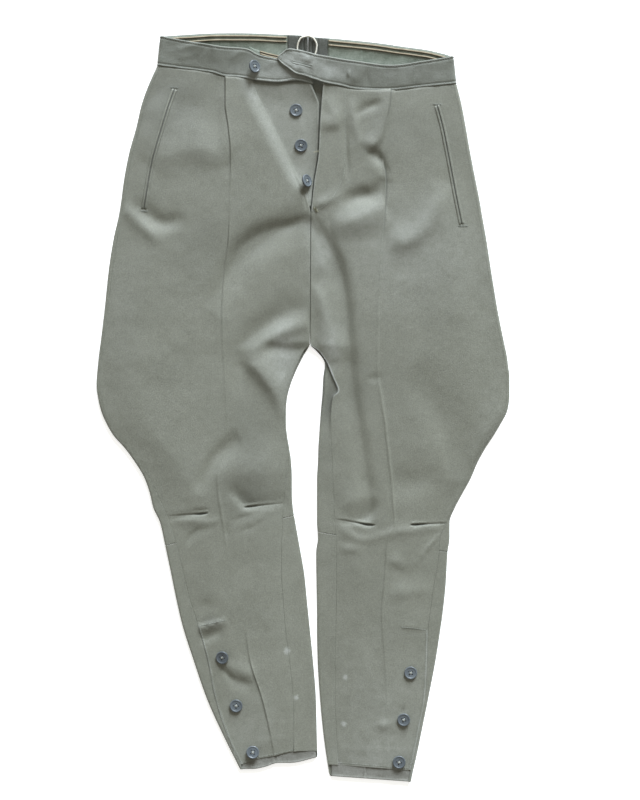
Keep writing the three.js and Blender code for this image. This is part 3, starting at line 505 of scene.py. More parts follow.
def bell(offset, width):
    """1 at no offset, falling off smoothly to each side."""
    return np.exp(-((offset / width) ** 2))


def patch(x, y, middle_x, middle_y, across, along):
    """The same round a place, in two directions."""
    return np.exp(-(((x - middle_x) / across) ** 2) - ((y - middle_y) / along) ** 2)


def column_at(rows, column, at):
    """One column of a table between its rows, which the first column places."""
    return monotone([row[0] for row in rows], [row[column] for row in rows], at)


def line_at(points, x):
    """Height of a line of (x, y) points at x."""
    return column_at(sorted(points), 1, x)


def through(points, per_span):
    """A smooth curve through points of any number of coordinates."""
    knots = np.asarray(points, float)
    last = len(knots) - 1
    found = []
    for k in range(last):
        before, start, end, after = (knots[min(max(k + i, 0), last)] for i in (-1, 0, 1, 2))
        for step in range(per_span):
            t = step / per_span
            found.append(
                0.5
                * (
                    2 * start
                    + (end - before) * t
                    + (2 * before - 5 * start + 4 * end - after) * t * t
                    + (3 * start - before - 3 * end + after) * t**3
                )
            )
    found.append(knots[-1])
    return np.array(found)


def spaced(curve, step):
    """Points at even distances along a curve of (x, y) points."""
    lengths = np.concatenate([[0], np.cumsum(np.hypot(*np.diff(curve[:, :2], axis=0).T))])
    count = max(2, int(round(lengths[-1] / step)) + 1)
    stations = np.linspace(0, lengths[-1], count)
    columns = [np.interp(stations, lengths, column) for column in curve.T]
    return np.stack(columns, axis=1)


def soft_noise(x, y, size, seed):
    """Smooth random values from -1 to 1 that change over about that many millimetres."""
    cells = 64
    grid = np.random.default_rng(seed).uniform(-1, 1, (cells, cells))
    u = x / size + 31.5
    v = y / size + 31.5
    i = np.floor(u).astype(int)
    j = np.floor(v).astype(int)
    s = smooth(u - i)
    t = smooth(v - j)
    low = lerp(grid[i % cells, j % cells], grid[(i + 1) % cells, j % cells], s)
    high = lerp(grid[i % cells, (j + 1) % cells], grid[(i + 1) % cells, (j + 1) % cells], s)
    return lerp(low, high, t)


def fold_height(x, y, fold):
    """Height that one fold adds. Its ends fade with the heights of its points."""
    left, right, points = fold
    curve = through(points, 6)
    reach = 2.6 * max(left, right)  # beyond this the fold is too low to see
    inside = (
        (x > curve[:, 0].min() - reach)
        & (x < curve[:, 0].max() + reach)
        & (y > curve[:, 1].min() - reach)
        & (y < curve[:, 1].max() + reach)
    )
    added = np.zeros_like(x)
    px = x[inside]
    py = y[inside]
    nearest = np.full(px.shape, 1e9)
    height = np.zeros_like(px)
    for (x1, y1, h1), (x2, y2, h2) in zip(curve[:-1], curve[1:]):
        dx = x2 - x1
        dy = y2 - y1
        length = dx * dx + dy * dy
        if length < 1e-9:
            continue
        t = clamped(((px - x1) * dx + (py - y1) * dy) / length, 0, 1)
        away = np.hypot(px - x1 - dx * t, py - y1 - dy * t)
        side = (py - y1) * dx - (px - x1) * dy
        width = np.where(side > 0, left, right)
        closer = away < nearest
        nearest = np.where(closer, away, nearest)
        height = np.where(closer, lerp(h1, h2, t) * bell(away, width), height)
    added[inside] = height
    return added


UNEVENNESS = [(0.45, 46, 3), (0.22, 19, 4), (0.06, 7, 5)]  # of the outer cloth


def relief(x, y):
    """What the folds and the small unevenness of the cloth add to its height."""
    return with_folds(uneven(x, y, UNEVENNESS), x, y, FOLDS)


def uneven(x, y, layers):
    """Layers of smooth random unevenness, each (height, size, seed)."""
    total = 0 * x
    for amount, size, seed in layers:
        total = total + amount * soft_noise(x, y, size, seed)
    return total


def with_folds(height, x, y, folds):
    for fold in folds:
        height = height + fold_height(x, y, fold)
    return height


def make_leg(side, rows, top, bottom, crease, closure):
    """side is the sign of x from the leg's outer side inwards. top and bottom each have a height on
    the outer side and the line of the front's cut edge."""
    ordered = sorted(rows)
    columns = {name: [row[k] for row in ordered] for k, name in enumerate(LEG_COLUMNS)}
    return {
        "side": side,
        "columns": columns,
        "top": top,
        "bottom": bottom,
        "crease": crease,
        "closure": closure,
    }


RIGHT = make_leg(
    1, RIGHT_LEG, (RIGHT_TOP, RIGHT_WAIST_SEAM), (RIGHT_FRONT_FOOT, RIGHT_HEM), RIGHT_CREASE, RIGHT_CLOSURE
)
LEFT = make_leg(
    -1, LEFT_LEG, (LEFT_TOP, LEFT_WAIST_SEAM), (LEFT_FRONT_FOOT, LEFT_HEM), LEFT_CREASE, LEFT_CLOSURE
)


def section(leg, y):
    """A leg's cross-section at any height."""
    columns = leg["columns"]
    return {name: monotone(columns["y"], columns[name], y) for name in LEG_COLUMNS[1:]}


def from_seams(leg, s, x):
    """How far inwards a place lies from the front panel's outer and inner edges."""
    return (x - s["outer_seam"]) * leg["side"], (s["inner_seam"] - x) * leg["side"]


def on_raised_side(leg, s, x, step):
    """How far a place lies from the crease, towards the side that the step lifts."""
    inwards = (x - s["crease"]) * leg["side"]
    return np.where(step > 0, inwards, -inwards)


def warped(y, x, top, bottom):
    """Moves a section's height so that a panel's first and last rows follow its cut edges."""
    top_shift = smooth(1 - (top[0] - y) / EASE) * (line_at(top[1], x) - top[0])
    bottom_shift = smooth(1 - (y - bottom[0]) / EASE) * (line_at(bottom[1], x) - bottom[0])
    return y + top_shift + bottom_shift


def cloth_height(leg, s, x, y):
    """Top of the cloth where it lies over a leg, without what the crease adds."""
    from_outer = (x - s["outer"]) * leg["side"]
    from_inner = (s["inner"] - x) * leg["side"]
    across = from_outer / np.abs(s["inner"] - s["outer"])
    at_inner = lerp(2 * s["roll"], 2 * INNER_ROLL, s["bind"])
    base = lerp(2 * s["roll"], at_inner, smooth(across))
    drawn_down = s["bind"] * (1 - smooth(from_inner / CROWN_REACH)) * lerp(0.45, 1, s["closed"])
    rise = 1.5 * smooth(from_outer / CROWN_REACH) * (1 - drawn_down)
    free = smooth(from_outer / 14) * (1 - s["closed"] * (1 - smooth(from_inner / 12)))
    height = base + rise * s["crown"] + free * relief(x, y)
    return LOWEST_FRONT + softly_positive(height - LOWEST_FRONT)


def softly_positive(value):
    """The value where it is above zero, easing to zero below."""
    return 0.5 * (value + np.sqrt(value * value + 0.3))


def crease_height(leg, s, x, y):
    """The pressed crease, and the step of the pleat that it grows out of."""
    ridge = column_at(leg["crease"], 1, y)
    step = column_at(leg["crease"], 2, y)
    raised_side = on_raised_side(leg, s, x, step)
    high = np.abs(step)
    run = lerp(5, 0.8, clamped((high - 0.45) / 0.4, 0, 1))  # a high step is a sharp one
    lifted = high * smooth(raised_side / run + 0.5) * np.exp(-np.maximum(raised_side, 0) / 24)
    groove = 0.7 * np.maximum(high - 0.5, 0) * bell(raised_side + 1.1, 1.1)
    return ridge * bell(raised_side, 1.8) + lifted - groove


def dart_depth(x, y, width):
    """How deep the knee darts cut in, felt that far to each side of their lines."""
    return with_folds(0 * x, x, y, [(width, width, dart) for dart in DARTS])


def crease_shade(leg, x, y):
    """Where the cloth beside a pleat's step is always in its shade, from 0 to 1."""
    step = column_at(leg["crease"], 2, y)
    raised_side = on_raised_side(leg, section(leg, y), x, step)
    return clamped((np.abs(step) - 0.4) / 1.5, 0, 1) * bell(raised_side + 0.9, 1.0)


def rounded_off(distance, radius):
    """How far a cut edge turns down at a distance from it."""
    t = clamped(1 - distance / radius, 0, 1)
    return radius * (1 - np.sqrt(1 - t * t))


def front_height(leg, x, y):
    """Top of a front panel at any place on it."""
    s = section(leg, y)
    height = cloth_height(leg, s, x, y) + crease_height(leg, s, x, y)
    height = height - dart_depth(x, y, 0.9) + 0.35 * dart_depth(x, y - 2.6, 1.6)
    above_hem = y - line_at(leg["bottom"][1], x)
    height = height - 1.1 * smooth(1 - above_hem / 26)
    from_edge, from_inner = from_seams(leg, s, x)
    beside_fly = stand_fold if leg is RIGHT else fly_edge_lift
    return height + closure_lift(leg, from_edge, y) + beside_fly(from_inner, y)


def closure_lift(leg, from_edge, y):
    """The front's outer edge laps over the back below the head of the leg's closure."""
    lapped = smooth((leg["closure"] - y) / 8)
    return lapped * (0.3 * bell(from_edge, 16) + 0.3 * bell(from_edge - 1.2, 1.3))


def stand_fold(from_inner, y):
    """The right front rolls down more and more steeply to its edge along the fly, less so just below
    the waistband, and the button stand lies level beyond it."""
    beside_fly = smooth((y - 250) / 14)
    opening = smooth((y - FLY_FOOT) / 55)
    reach = lerp(10, 22, opening)
    drop = lerp(1.2, 6.2, opening) * (1 - 0.45 * smooth((y - 392) / 34))
    inside = 0.5 * (from_inner + np.sqrt(from_inner * from_inner + 5))
    rolled = clamped(1 - inside / reach, 0, 1) ** 2
    edge = 0.45 * bell(from_inner - 1.6, 1.1) - 0.45 * bell(from_inner - 4.2, 1.1)
    return beside_fly * (edge * (1 - smooth((y - 296) / 12)) - drop * rolled)


def fly_edge_lift(from_inner, y):
    """The pressed edge of the left front along the fly."""
    return smooth((y - 250) / 10) * 0.5 * bell(from_inner - 1.8, 1.6)


# ---- meshes ----


def in_mode(mode):
    bpy.ops.object.mode_set(mode=mode)


def deselect_all():
    if bpy.context.object is not None and bpy.context.object.mode != "OBJECT":
        in_mode("OBJECT")
    bpy.ops.object.select_all(action="DESELECT")


def select_only(item):
    deselect_all()
    item.select_set(True)
    bpy.context.view_layer.objects.active = item


def new_mesh(name, vertices, faces, smooth_shaded=True):
    mesh = bpy.data.meshes.new(name)
    mesh.vertices.add(len(vertices))
    mesh.vertices.foreach_set("co", (np.asarray(vertices) * MM).astype(np.float32).ravel())
    faces = np.asarray(faces)
    mesh.loops.add(faces.size)
    mesh.loops.foreach_set("vertex_index", faces.astype(np.int32).ravel())
    mesh.polygons.add(len(faces))
    mesh.polygons.foreach_set("loop_start", np.arange(0, faces.size, faces.shape[1], dtype=np.int32))
    mesh.polygons.foreach_set("use_smooth", np.full(len(faces), smooth_shaded))
    mesh.update(calc_edges=True)
    mesh.validate()
    item = bpy.data.objects.new(name, mesh)
    link(item)
    return item


def grid_faces(rows, columns, start=0):
    i, j = np.meshgrid(np.arange(rows - 1), np.arange(columns - 1), indexing="ij")
    corner = (start + i * columns + j).ravel()
    return np.stack([corner, corner + 1, corner + columns + 1, corner + columns], axis=1)


def volume_of(vertices, faces):
    a, b, c, d = (vertices[faces[:, k]] for k in range(4))
    return np.einsum("ij,ij->", a, np.cross(b, c)) + np.einsum("ij,ij->", a, np.cross(c, d))


def shell(name, outer, inner):
    """A closed thin wall between two grids of points."""
    rows, columns = outer.shape[:2]
    layer = rows * columns
    vertices = np.concatenate([outer.reshape(-1, 3), inner.reshape(-1, 3)])
    top = grid_faces(rows, columns)
    bottom = grid_faces(rows, columns, layer)[:, ::-1]
    rim = np.concatenate(
        [
            np.arange(columns - 1),
            np.arange(rows - 1) * columns + columns - 1,
            (rows - 1) * columns + np.arange(columns - 1, 0, -1),
            np.arange(rows - 1, 0, -1) * columns,
        ]
    )
    after = np.roll(rim, -1)
    sides = np.stack([rim, rim + layer, after + layer, after], axis=1)
    faces = np.concatenate([top, bottom, sides])
    if volume_of(vertices, faces) < 0:
        faces = faces[:, ::-1]
    return new_mesh(name, vertices, faces)


def over_under(name, x, y, top, underside):
    """A thin wall between two heights over the same places."""
    return shell(name, np.stack([x, y, top], axis=2), np.stack([x, y, underside], axis=2))


def unit_rows(rows):
    return rows / np.linalg.norm(rows, axis=1)[:, None]


def tube_parts(path, radius, sides, flatten=1.0, ends=0.35):
    """Vertices and faces of a tube along a path of (x, y, z) points, narrowed and closed at its ends."""
    path = np.asarray(path, float)
    count = len(path)
    ahead = np.roll(path, -1, axis=0) - np.roll(path, 1, axis=0)
    ahead[0] = path[1] - path[0]
    ahead[-1] = path[-1] - path[-2]
    ahead = unit_rows(ahead)
    across = unit_rows(np.cross(ahead, (0, 0, 1)))
    up = np.cross(across, ahead)
    radii = np.full(count, float(radius))
    radii[[0, -1]] = radius * ends
    angles = np.arange(sides) * 2 * math.pi / sides
    ring = across[:, None] * np.cos(angles)[:, None] + up[:, None] * np.sin(angles)[:, None] * flatten
    vertices = (path[:, None] + ring * radii[:, None, None]).reshape(-1, 3)
    faces = []
    for start in range(0, (count - 1) * sides, sides):
        ahead_start = start + sides
        for s in range(sides):
            after = (s + 1) % sides
            faces.append((start + s, start + after, ahead_start + after, ahead_start + s))
    vertices = np.concatenate([vertices, path[:1], path[-1:]])
    first = count * sides
    last = first + 1
    final = (count - 1) * sides
    for s in range(0, sides, 2):
        faces.append((s, first, (s + 2) % sides, s + 1))
        faces.append((final + s, final + s + 1, final + (s + 2) % sides, last))
    return vertices, np.array(faces)


def gathered(name, parts):
    """One mesh from many (vertices, faces) parts."""
    vertices = []
    faces = []
    start = 0
    for part_vertices, part_faces in parts:
        vertices.append(part_vertices)
        faces.append(part_faces + start)
        start += len(part_vertices)
    return new_mesh(name, np.concatenate(vertices), np.concatenate(faces))


# ---- fronts ----

# Distances from an edge, and from the crease, at which a panel has its closest rows and columns
NEAR_EDGE = (0, 0.35, 0.8, 1.4, 2.2, 3.4, 5)
NEAR_CREASE = (6, 3.6, 2.2, 1.3, 0.6, 0)
FRONT_CELLS = (54, 52)  # columns between the crease and the outer and inner edges
FRONT_ROWS = (3.05, 0.95)  # distance between rows, and between those in the stretch with the darts
WAIST_TUCK = 3  # how far a front reaches up under the waistband


def front_columns(outer_cells, inner_cells):
    """Each column as shares of the outer edge, the crease and the inner edge, and a distance inwards
    from them."""
    columns = [(1, 0, 0, d) for d in NEAR_EDGE]
    for k in range(1, outer_cells):
        t = k / outer_cells
        columns.append((1 - t, t, 0, lerp(NEAR_EDGE[-1], -NEAR_CREASE[0], t)))
    columns += [(0, 1, 0, -d) for d in NEAR_CREASE]
    columns += [(0, 1, 0, d) for d in reversed(NEAR_CREASE[:-1])]
    for k in range(1, inner_cells):
        t = k / inner_cells
        columns.append((0, 1 - t, t, lerp(NEAR_CREASE[0], -NEAR_EDGE[-1], t)))
    columns += [(0, 0, 1, -d) for d in reversed(NEAR_EDGE)]
    return np.array(columns)


def row_levels(top, bottom, step, dense=(0, 0), dense_step=1.0):
    """Heights of a panel's rows: close together at its two ends and in the dense stretch."""
    levels = [top - d for d in NEAR_EDGE]
    y = top - NEAR_EDGE[-1]
    while y > bottom + NEAR_EDGE[-1] + step:
        y -= dense_step if dense[0] < y <= dense[1] else step
        levels.append(y)
    levels += [bottom + d for d in reversed(NEAR_EDGE)]
    return np.array(levels)


def front_places(leg, start):
    """x and y of a front panel's grid, whose rows begin level and are bent to its cut edges."""
    outer_share, crease_share, inner_share, inwards = front_columns(*FRONT_CELLS).T
    gap = leg["side"] * SEAM_GAP / 2 * (outer_share - inner_share)
    y = start
    for _ in range(ROUNDS):
        s = section(leg, y)
        edges = s["outer_seam"] * outer_share + s["crease"] * crease_share + s["inner_seam"] * inner_share
        x = edges + leg["side"] * inwards + gap
        y = warped(start, x, leg["top"], leg["bottom"])
    return x, y, s


def front_panel(name, leg, dense):
    levels = row_levels(leg["top"][0], leg["bottom"][0], FRONT_ROWS[0], dense, FRONT_ROWS[1])
    start = np.repeat(levels[:, None], len(front_columns(*FRONT_CELLS)), axis=1)
    x, y, s = front_places(leg, start)
    below_top = leg["top"][0] - start
    z = front_height(leg, x, y) - 1.9 * smooth(1 - below_top / 2.6)
    y = y + WAIST_TUCK * smooth(1 - below_top / 5)
    from_edge, from_inner = from_seams(leg, s, x)
    beside_stand = smooth((y - 252) / 10) if leg is RIGHT else 0 * y
    wall = lerp(CLOTH, lerp(0.25, CLOTH, smooth(from_inner / 14)), beside_stand)
    centre_seam = smooth((y - 70) / 15) * (1 - smooth((y - 244) / 8))
    inner_round = lerp(0.2, 0.8, centre_seam) * (1 - 0.9 * beside_stand)
    outer_round = lerp(0.5, 0.25, smooth((y + 250) / 60))
    at_sides = np.maximum(rounded_off(from_edge, outer_round), rounded_off(from_inner, inner_round))
    turned_down = np.maximum(at_sides, rounded_off(start - leg["bottom"][0], 1.0))
    turned_down = np.minimum(turned_down, wall - THINNEST)
    return over_under(name, x, y, z - turned_down, z - wall)


# ---- backs ----

# Columns of a back panel: on its lap behind the outer seam, round the outer fold, across the
# underside, and in and round the inner fold
LAP_CELLS = 8
CURL_CELLS = 10
UNDER_CELLS = 26
TURN_CELLS = 16
BACK_ROWS = 4.2  # distance between its rows
FLAT_TURN = 12  # width at the centre back that turns into the inside fold below the crotch

# Creases on the hidden underside, in the same form as FOLDS
UNDER_FOLDS = [
    (12, 16, [(-210, 210, 0), (-150, 190, 1.2), (-80, 215, 1.6), (-10, 240, 0)]),
    (9, 14, [(-180, 60, 0), (-110, 40, 1), (-50, 70, 1.3), (-20, 95, 0)]),
    (10, 10, [(-190, -120, 0), (-120, -95, 1.4), (-60, -110, 1.1), (-20, -95, 0)]),
    (8, 8, [(-150, -190, 0), (-100, -176, 0.9), (-40, -186, 0)]),
    (10, 15, [(30, 235, 0), (90, 205, 1.5), (160, 215, 1), (210, 190, 0)]),
    (10, 12, [(50, 80, 0), (110, 50, 1.2), (190, 75, 0.9), (235, 60, 0)]),
    (9, 12, [(40, -100, 0), (90, -118, 1.4), (150, -100, 1), (190, -110, 0)]),
    (8, 9, [(50, -210, 0), (100, -196, 1), (160, -214, 0)]),
    (6, 9, [(-120, -330, 0), (-70, -318, 0.8), (-20, -330, 0)]),
    (7, 7, [(50, -360, 0), (100, -350, 0.8), (145, -362, 0)]),
]


def under_lift(x, y):
    """How far the underside stands off the table in its few shallow creases."""
    return np.maximum(with_folds(0 * x, x, y, UNDER_FOLDS) - 0.08, 0)


def back_section(leg, s, y):
    """x, z and the outward normal at each column round a back panel's section, as in y's columns.
    The height is left open where the panel lies on top."""
    side = leg["side"]
    found = []
    column = {name: [v[:, k] for k in range(y.shape[1])] for name, v in s.items()}
    k = 0

    def picked(index):
        return {name: column[name][index] for name in column}

    for step in range(LAP_CELLS):
        c = picked(k)
        t = (step / LAP_CELLS) ** 1.5
        x = lerp(c["outer_seam"] - side * SEAM_GAP / 2, c["outer"] + side * c["roll"], t)
        found.append((x, np.nan + 0 * x, 0 * x, 1 + 0 * x))
        k += 1
    for step in range(CURL_CELLS + 1):
        c = picked(k)
        angle = math.pi * step / CURL_CELLS
        nx = -side * math.sin(angle) + 0 * c["roll"]
        nz = math.cos(angle) + 0 * c["roll"]
        found.append((c["outer"] + side * c["roll"] + nx * c["roll"], c["roll"] * (1 + nz), nx, nz))
        k += 1
    for step in range(1, UNDER_CELLS + 1):
        c = picked(k)
        x = lerp(c["outer"] + side * c["roll"], under_end(side, c), step / UNDER_CELLS)
        found.append((x, 0 * x, 0 * x, -1 + 0 * x))
        k += 1
    for step in range(1, TURN_CELLS + 1):
        found.append(inner_turn(side, picked(k), step / TURN_CELLS))
        k += 1
    return [np.stack([entry[n] for entry in found], axis=1) for n in range(4)]


BACK_COLUMNS = LAP_CELLS + CURL_CELLS + 1 + UNDER_CELLS + TURN_CELLS


def under_end(side, c):
    return c["inner"] - side * (SEAM_GAP / 2 + lerp(FLAT_TURN, INNER_ROLL, c["closed"]))


def inner_turn(side, c, part):
    """The inside of a leg: flat up to the centre back seam above the crotch, folded up and over
    below it."""
    closed = c["closed"]
    flat_share = 1 - closed
    curl_share = closed * 0.6
    start = under_end(side, c)
    centre = lerp(c["inner"] - side * SEAM_GAP / 2, c["inner"] - side * INNER_ROLL, closed)
    turned = clamped((part - flat_share) / np.maximum(curl_share, 1e-6), 0, 1)
    angle = math.pi * turned * closed
    nx = side * np.sin(angle)
    nz = -np.cos(angle)
    curl_x = centre + nx * INNER_ROLL
    curl_z = INNER_ROLL * (1 + nz)
    flat = part <= flat_share
    flat_x = lerp(start, centre, clamped(part / np.maximum(flat_share, 1e-6), 0, 1))
    rest = np.maximum(1 - flat_share - curl_share, 1e-6)
    lapped = 1 - (1 - clamped((part - flat_share - curl_share) / rest, 0, 1)) ** 2.2
    on_lap = (turned >= 1) & (closed >= 0.999) & (lapped > 0)
    lap_x = lerp(curl_x, c["inner_seam"] + side * SEAM_GAP / 2, lapped)
    x = np.where(flat, flat_x, np.where(on_lap, lap_x, curl_x))
    z = np.where(flat, 0, np.where(on_lap, np.nan, curl_z))
    nx = np.where(flat, 0, np.where(on_lap, 0, nx))
    nz = np.where(flat, -1, np.where(on_lap, 1, nz))
    return x, z, nx, nz


def back_panel(name, leg, top, bottom, front_hem=None):
    levels = row_levels(top[0], bottom[0], BACK_ROWS)
    start = np.repeat(levels[:, None], BACK_COLUMNS, axis=1)
    y = start
    lap_share = smooth((np.arange(BACK_COLUMNS) - (BACK_COLUMNS - TURN_CELLS) - 1) / 7)[None, :]
    for _ in range(ROUNDS):
        x = back_section(leg, section(leg, y), y)[0]
        y = warped(start, x, top, bottom)
        if front_hem is not None:
            on_front = warped(start, x, top, (bottom[0], front_hem))
            y = lerp(y, on_front, lap_share)
    s = section(leg, y)
    x, z, nx, nz = back_section(leg, s, y)
    on_top = np.isnan(z)
    z = np.where(on_top, cloth_height(leg, s, x, y), z)
    if leg is LEFT:
        opened = smooth((66 - y) / 12) * (1 - smooth((10 - y) / 60)) * smooth((s["inner_seam"] - x) * 0.5)
        z = z - np.where(on_top & (x < 60), 2 * opened, 0)
    z = z + np.where(nz < -0.99, under_lift(x, y), 0)
    from_seam = np.minimum(np.abs(x - s["outer_seam"]), np.abs(x - s["inner_seam"]))
    turned_in = np.where(on_top, rounded_off(from_seam, 0.2), 0)
    ends = np.minimum(top[0] - start, start - bottom[0])
    turned_in = np.maximum(turned_in, rounded_off(ends, 0.5))
    outer = np.stack([x - nx * turned_in, y, z - nz * turned_in], axis=2)
    inner = np.stack([x - nx * CLOTH, y, z - nz * CLOTH], axis=2)
    return shell(name, outer, inner)


def raised(line, offset):
    return [(x, y + offset) for x, y in line]


def back_seam(fold, side, band_edge):
    """A back panel's upper edge: level round the side fold, then along the band's lower edge."""
    low_x, low_y = fold[:2]
    along = [(x, top_y - BACK_BAND) for x, top_y in band_edge[1:]]
    return [(low_x, low_y - SEAM_GAP), (low_x + side * 4, low_y - SEAM_GAP), *along]


# ---- fly stand ----


def stand_height(x, y):
    s = section(RIGHT, y)
    from_edge = column_at(STAND_EDGE, 1, y) - x
    height = cloth_height(RIGHT, s, x, y) + stand_fold(s["inner_seam"] - x, y) - 0.35
    height = LOWEST_FRONT + softly_positive(height - LOWEST_FRONT)
    rim = 0.45 * bell(from_edge - 2, 1.5)
    dip = 0.5 * bell(from_edge - 7, 5)
    rise = 2.4 * smooth(1 - from_edge / 18) * smooth((y - 290) / 30)
    return height + rim - dip + rise


def fly_stand():
    """The button stand, whose hidden edge is sewn 9 mm behind the right front's."""
    levels = row_levels(STAND_TOP, FLY_FOOT, 2)
    close = 1 - np.array([0.07, 0.045, 0.028, 0.015, 0.006, 0])
    shares = np.concatenate([np.linspace(0, 0.9, 26), close])
    y = np.repeat(levels[:, None], len(shares), axis=1)
    seam = section(RIGHT, y)["inner_seam"] - 9
    edge = column_at(STAND_EDGE, 1, y)
    x = lerp(seam, edge, shares)
    below_band = line_at(RIGHT_WAIST_SEAM, x) - y
    z = stand_height(x, y) - 1.2 * smooth(1 - below_band / 3)
    turned_down = np.minimum(rounded_off(edge - x, 0.9), 1.2)
    return over_under("fly_stand_cloth", x, y, z - turned_down, z - CLOTH)


# ---- waistband ----

BAND_DEPTHS = (0, 0.3, 0.7, 1.2, 1.8, 2.4, 3.0, 3.6, 4.3, 5.2, 6.8, 9, 12, 15)
BAND_HEIGHT = 38.0  # on average, between its edges
BAND_STEP = 1.6  # between the band's columns in front, and behind
BAND_BACK_STEP = 2.6
BAND_TURN = 12  # cells round the side fold
BACK_LIFT = 2.2  # how far the back of the waist stands off the table at its top edge


def band_columns():
    """Shares of the way up the band, close together at both edges."""
    low = [d / BAND_HEIGHT for d in BAND_DEPTHS]
    return np.array(low + [0.5] + [1 - d for d in reversed(low)])


def back_band_lift(v):
    return BACK_LIFT * smooth((v - 0.4) / 0.6)


def band_stations(front, back, fold, side):
    """Outer face of a band half as a grid from the fly round the side to the centre back, with its
    normals."""
    v = band_columns()
    points = []
    normals = []
    for row in spaced(through(front, 10), BAND_STEP):
        low_x, low_y, top_x, top_y, low_z, top_z = row
        places = [lerp(low_x, top_x, v), lerp(low_y, top_y, v), lerp(low_z, top_z, v)]
        points.append(np.stack(places, axis=1))
        normals.append(np.tile((0.0, 0.0, 1.0), (len(v), 1)))
    over = lerp(front[-1][4], front[-1][5], v)
    under = back_band_lift(v)
    radius = (over - under) / 2
    side_x = lerp(fold[0], fold[2], v)
    side_y = lerp(fold[1], fold[3], v)
    for k in range(1, BAND_TURN):
        angle = math.pi * k / BAND_TURN
        nx = -side * math.sin(angle)
        nz = math.cos(angle)
        x = side_x + side * radius + nx * radius
        points.append(np.stack([x, side_y, (over + under) / 2 + nz * radius], axis=1))
        normals.append(np.tile((nx, 0.0, nz), (len(v), 1)))
    along = spaced(through(back, 10), BAND_BACK_STEP)
    for x, top_y in along[along[:, 0] * side > fold[2] * side + 6]:
        low_y = top_y - BACK_BAND + SEAM_GAP
        points.append(np.stack([x + 0 * v, lerp(low_y, top_y, v), under], axis=1))
        normals.append(np.tile((0.0, 0.0, -1.0), (len(v), 1)))
    return np.array(points), np.array(normals)


def band_profile(distance_low, distance_top):
    """Stitched-down edges: a padded roll along each edge, with a groove beside it."""
    groove = 0
    for distance in (distance_low, distance_top):
        groove = groove + 0.55 * bell(distance - 3.3, 0.9)
        groove = groove - 0.25 * bell(distance - 1.5, 1.0)
    return groove


def band_unevenness(x, y, side):
    """Puckers of the band. The left half's pointed tab and its worn place are the roughest."""
    rough = uneven(x, y, [(0.55, 24, 11), (0.28, 9, 12)])
    if side < 0:
        tab = 1 - smooth((x - 10) / 30)
        rough = rough + tab * uneven(x, y, [(0.6, 7, 13), (0.4, 3.6, 14)])
        rough = rough + patch(x, y, 42, 440, 26, 14) * 0.6 * soft_noise(x, y, 8, 15)
    return with_folds(rough, x, y, BAND_FOLDS)


# Soft wrinkles in the front of the waistband, in the same form as FOLDS
BAND_FOLDS = [
    (3, 5, [(-176, 462, 0), (-160, 466, 0.8), (-140, 470, 0.7), (-126, 468, 0)]),
    (2, 4, [(-168, 455, 0), (-152, 457, 0.7), (-135, 462, 0)]),
    (3, 3, [(-143, 468, 0), (-136, 474, 0.6), (-122, 473, 0.7), (-115, 464, 0.6), (-119, 453, 0)]),
    (3, 3, [(-98, 448, 0), (-86, 460, 0.8), (-72, 463, 0)]),
    (4, 4, [(-52, 440, 0), (-40, 448, 0.8), (-30, 452, 0)]),
    (6, 8, [(60, 418, 0), (66, 430, 1.5), (70, 446, 1.0), (72, 452, 0)]),
    (5, 5, [(82, 416, 0), (84, 428, -1.2), (80, 440, 0)]),
    (2, 2, [(-14.3, 450.5, 0), (-6, 448.2, -1.4), (4, 446, -1.5), (11.7, 444, 0)]),
    (1.4, 1.4, [(57, 433, 0), (59.4, 433.6, 1.7), (62, 433, 0)]),
]


def from_ends(count, step):
    """How far each row of a strip lies from the nearer end."""
    return np.minimum(np.arange(count), np.arange(count)[::-1])[:, None] * step


def band_half(name, stations, side):
    points, normals = stations
    height = np.linalg.norm(points[:, -1] - points[:, 0], axis=1)[:, None]
    v = band_columns()[None, :]
    from_low = v * height
    from_top = (1 - v) * height
    facing_up = normals[:, :, 2] > 0.5
    groove = band_profile(from_low, from_top)
    rough = np.where(facing_up, band_unevenness(points[:, :, 0], points[:, :, 1], side), 0)
    tip = from_ends(len(points), BAND_STEP)
    edge = np.minimum(np.minimum(from_low, from_top), tip)
    turned = np.minimum(rounded_off(edge, 1.1), BAND / 2 - THINNEST)
    lift = (rough - groove * smooth(tip / 6) - turned)[:, :, None]
    outer = points + normals * lift
    inner = points - normals * (BAND - turned)[:, :, None]
    return shell(name, outer, inner), outer


# ---- inside of the waist ----


def inner_face(back, x, depth):
    """y and z of the band's lining side at a depth below its top edge."""
    curve = through(sorted(back), 10)
    top_y = np.interp(x, curve[:, 0], curve[:, 1])
    return top_y - depth, back_band_lift(1 - depth / BACK_BAND) + BAND


def strip_inside(name, back, stations, depths, thickness, swell):
    """A strip of cloth on the lining side of the band. swell adds to its height at (x, depth)."""
    x, depth = np.meshgrid(stations, depths, indexing="ij")
    y, z = inner_face(back, x, depth)
    tip = np.minimum(np.abs(x - stations[0]), np.abs(x - stations[-1]))
    edge = np.minimum(tip, np.minimum(depth - depths[0], depths[-1] - depth))
    turned = np.minimum(rounded_off(edge, 0.6), thickness - 0.1)
    return over_under(name, x, y, z + thickness + swell(x, depth) - turned, z + 0.05)


def lining_swell(x, depth):
    """Unevenness of the lining, with one upright crease on the left half."""
    crease = 0.7 * bell(x - 75.4, 1.1) * smooth((depth - 8) / 5)
    return uneven(x, depth, [(0.35, 17, 21), (0.2, 6, 22)]) + crease


def facing_swell(x, depth):
    """Seam allowances folded side by side at the centre back."""
    away = np.abs(x - CENTRE_BACK)
    ridges = 0.9 * bell(away - 3, 1.5) + 1.2 * bell(away - 8, 1.7)
    grooves = 0.7 * bell(away - 13, 1.2) + 0.8 * bell(away - 5.6, 0.8)
    return ridges - grooves + 0.15 * soft_noise(x, depth, 5, 23)


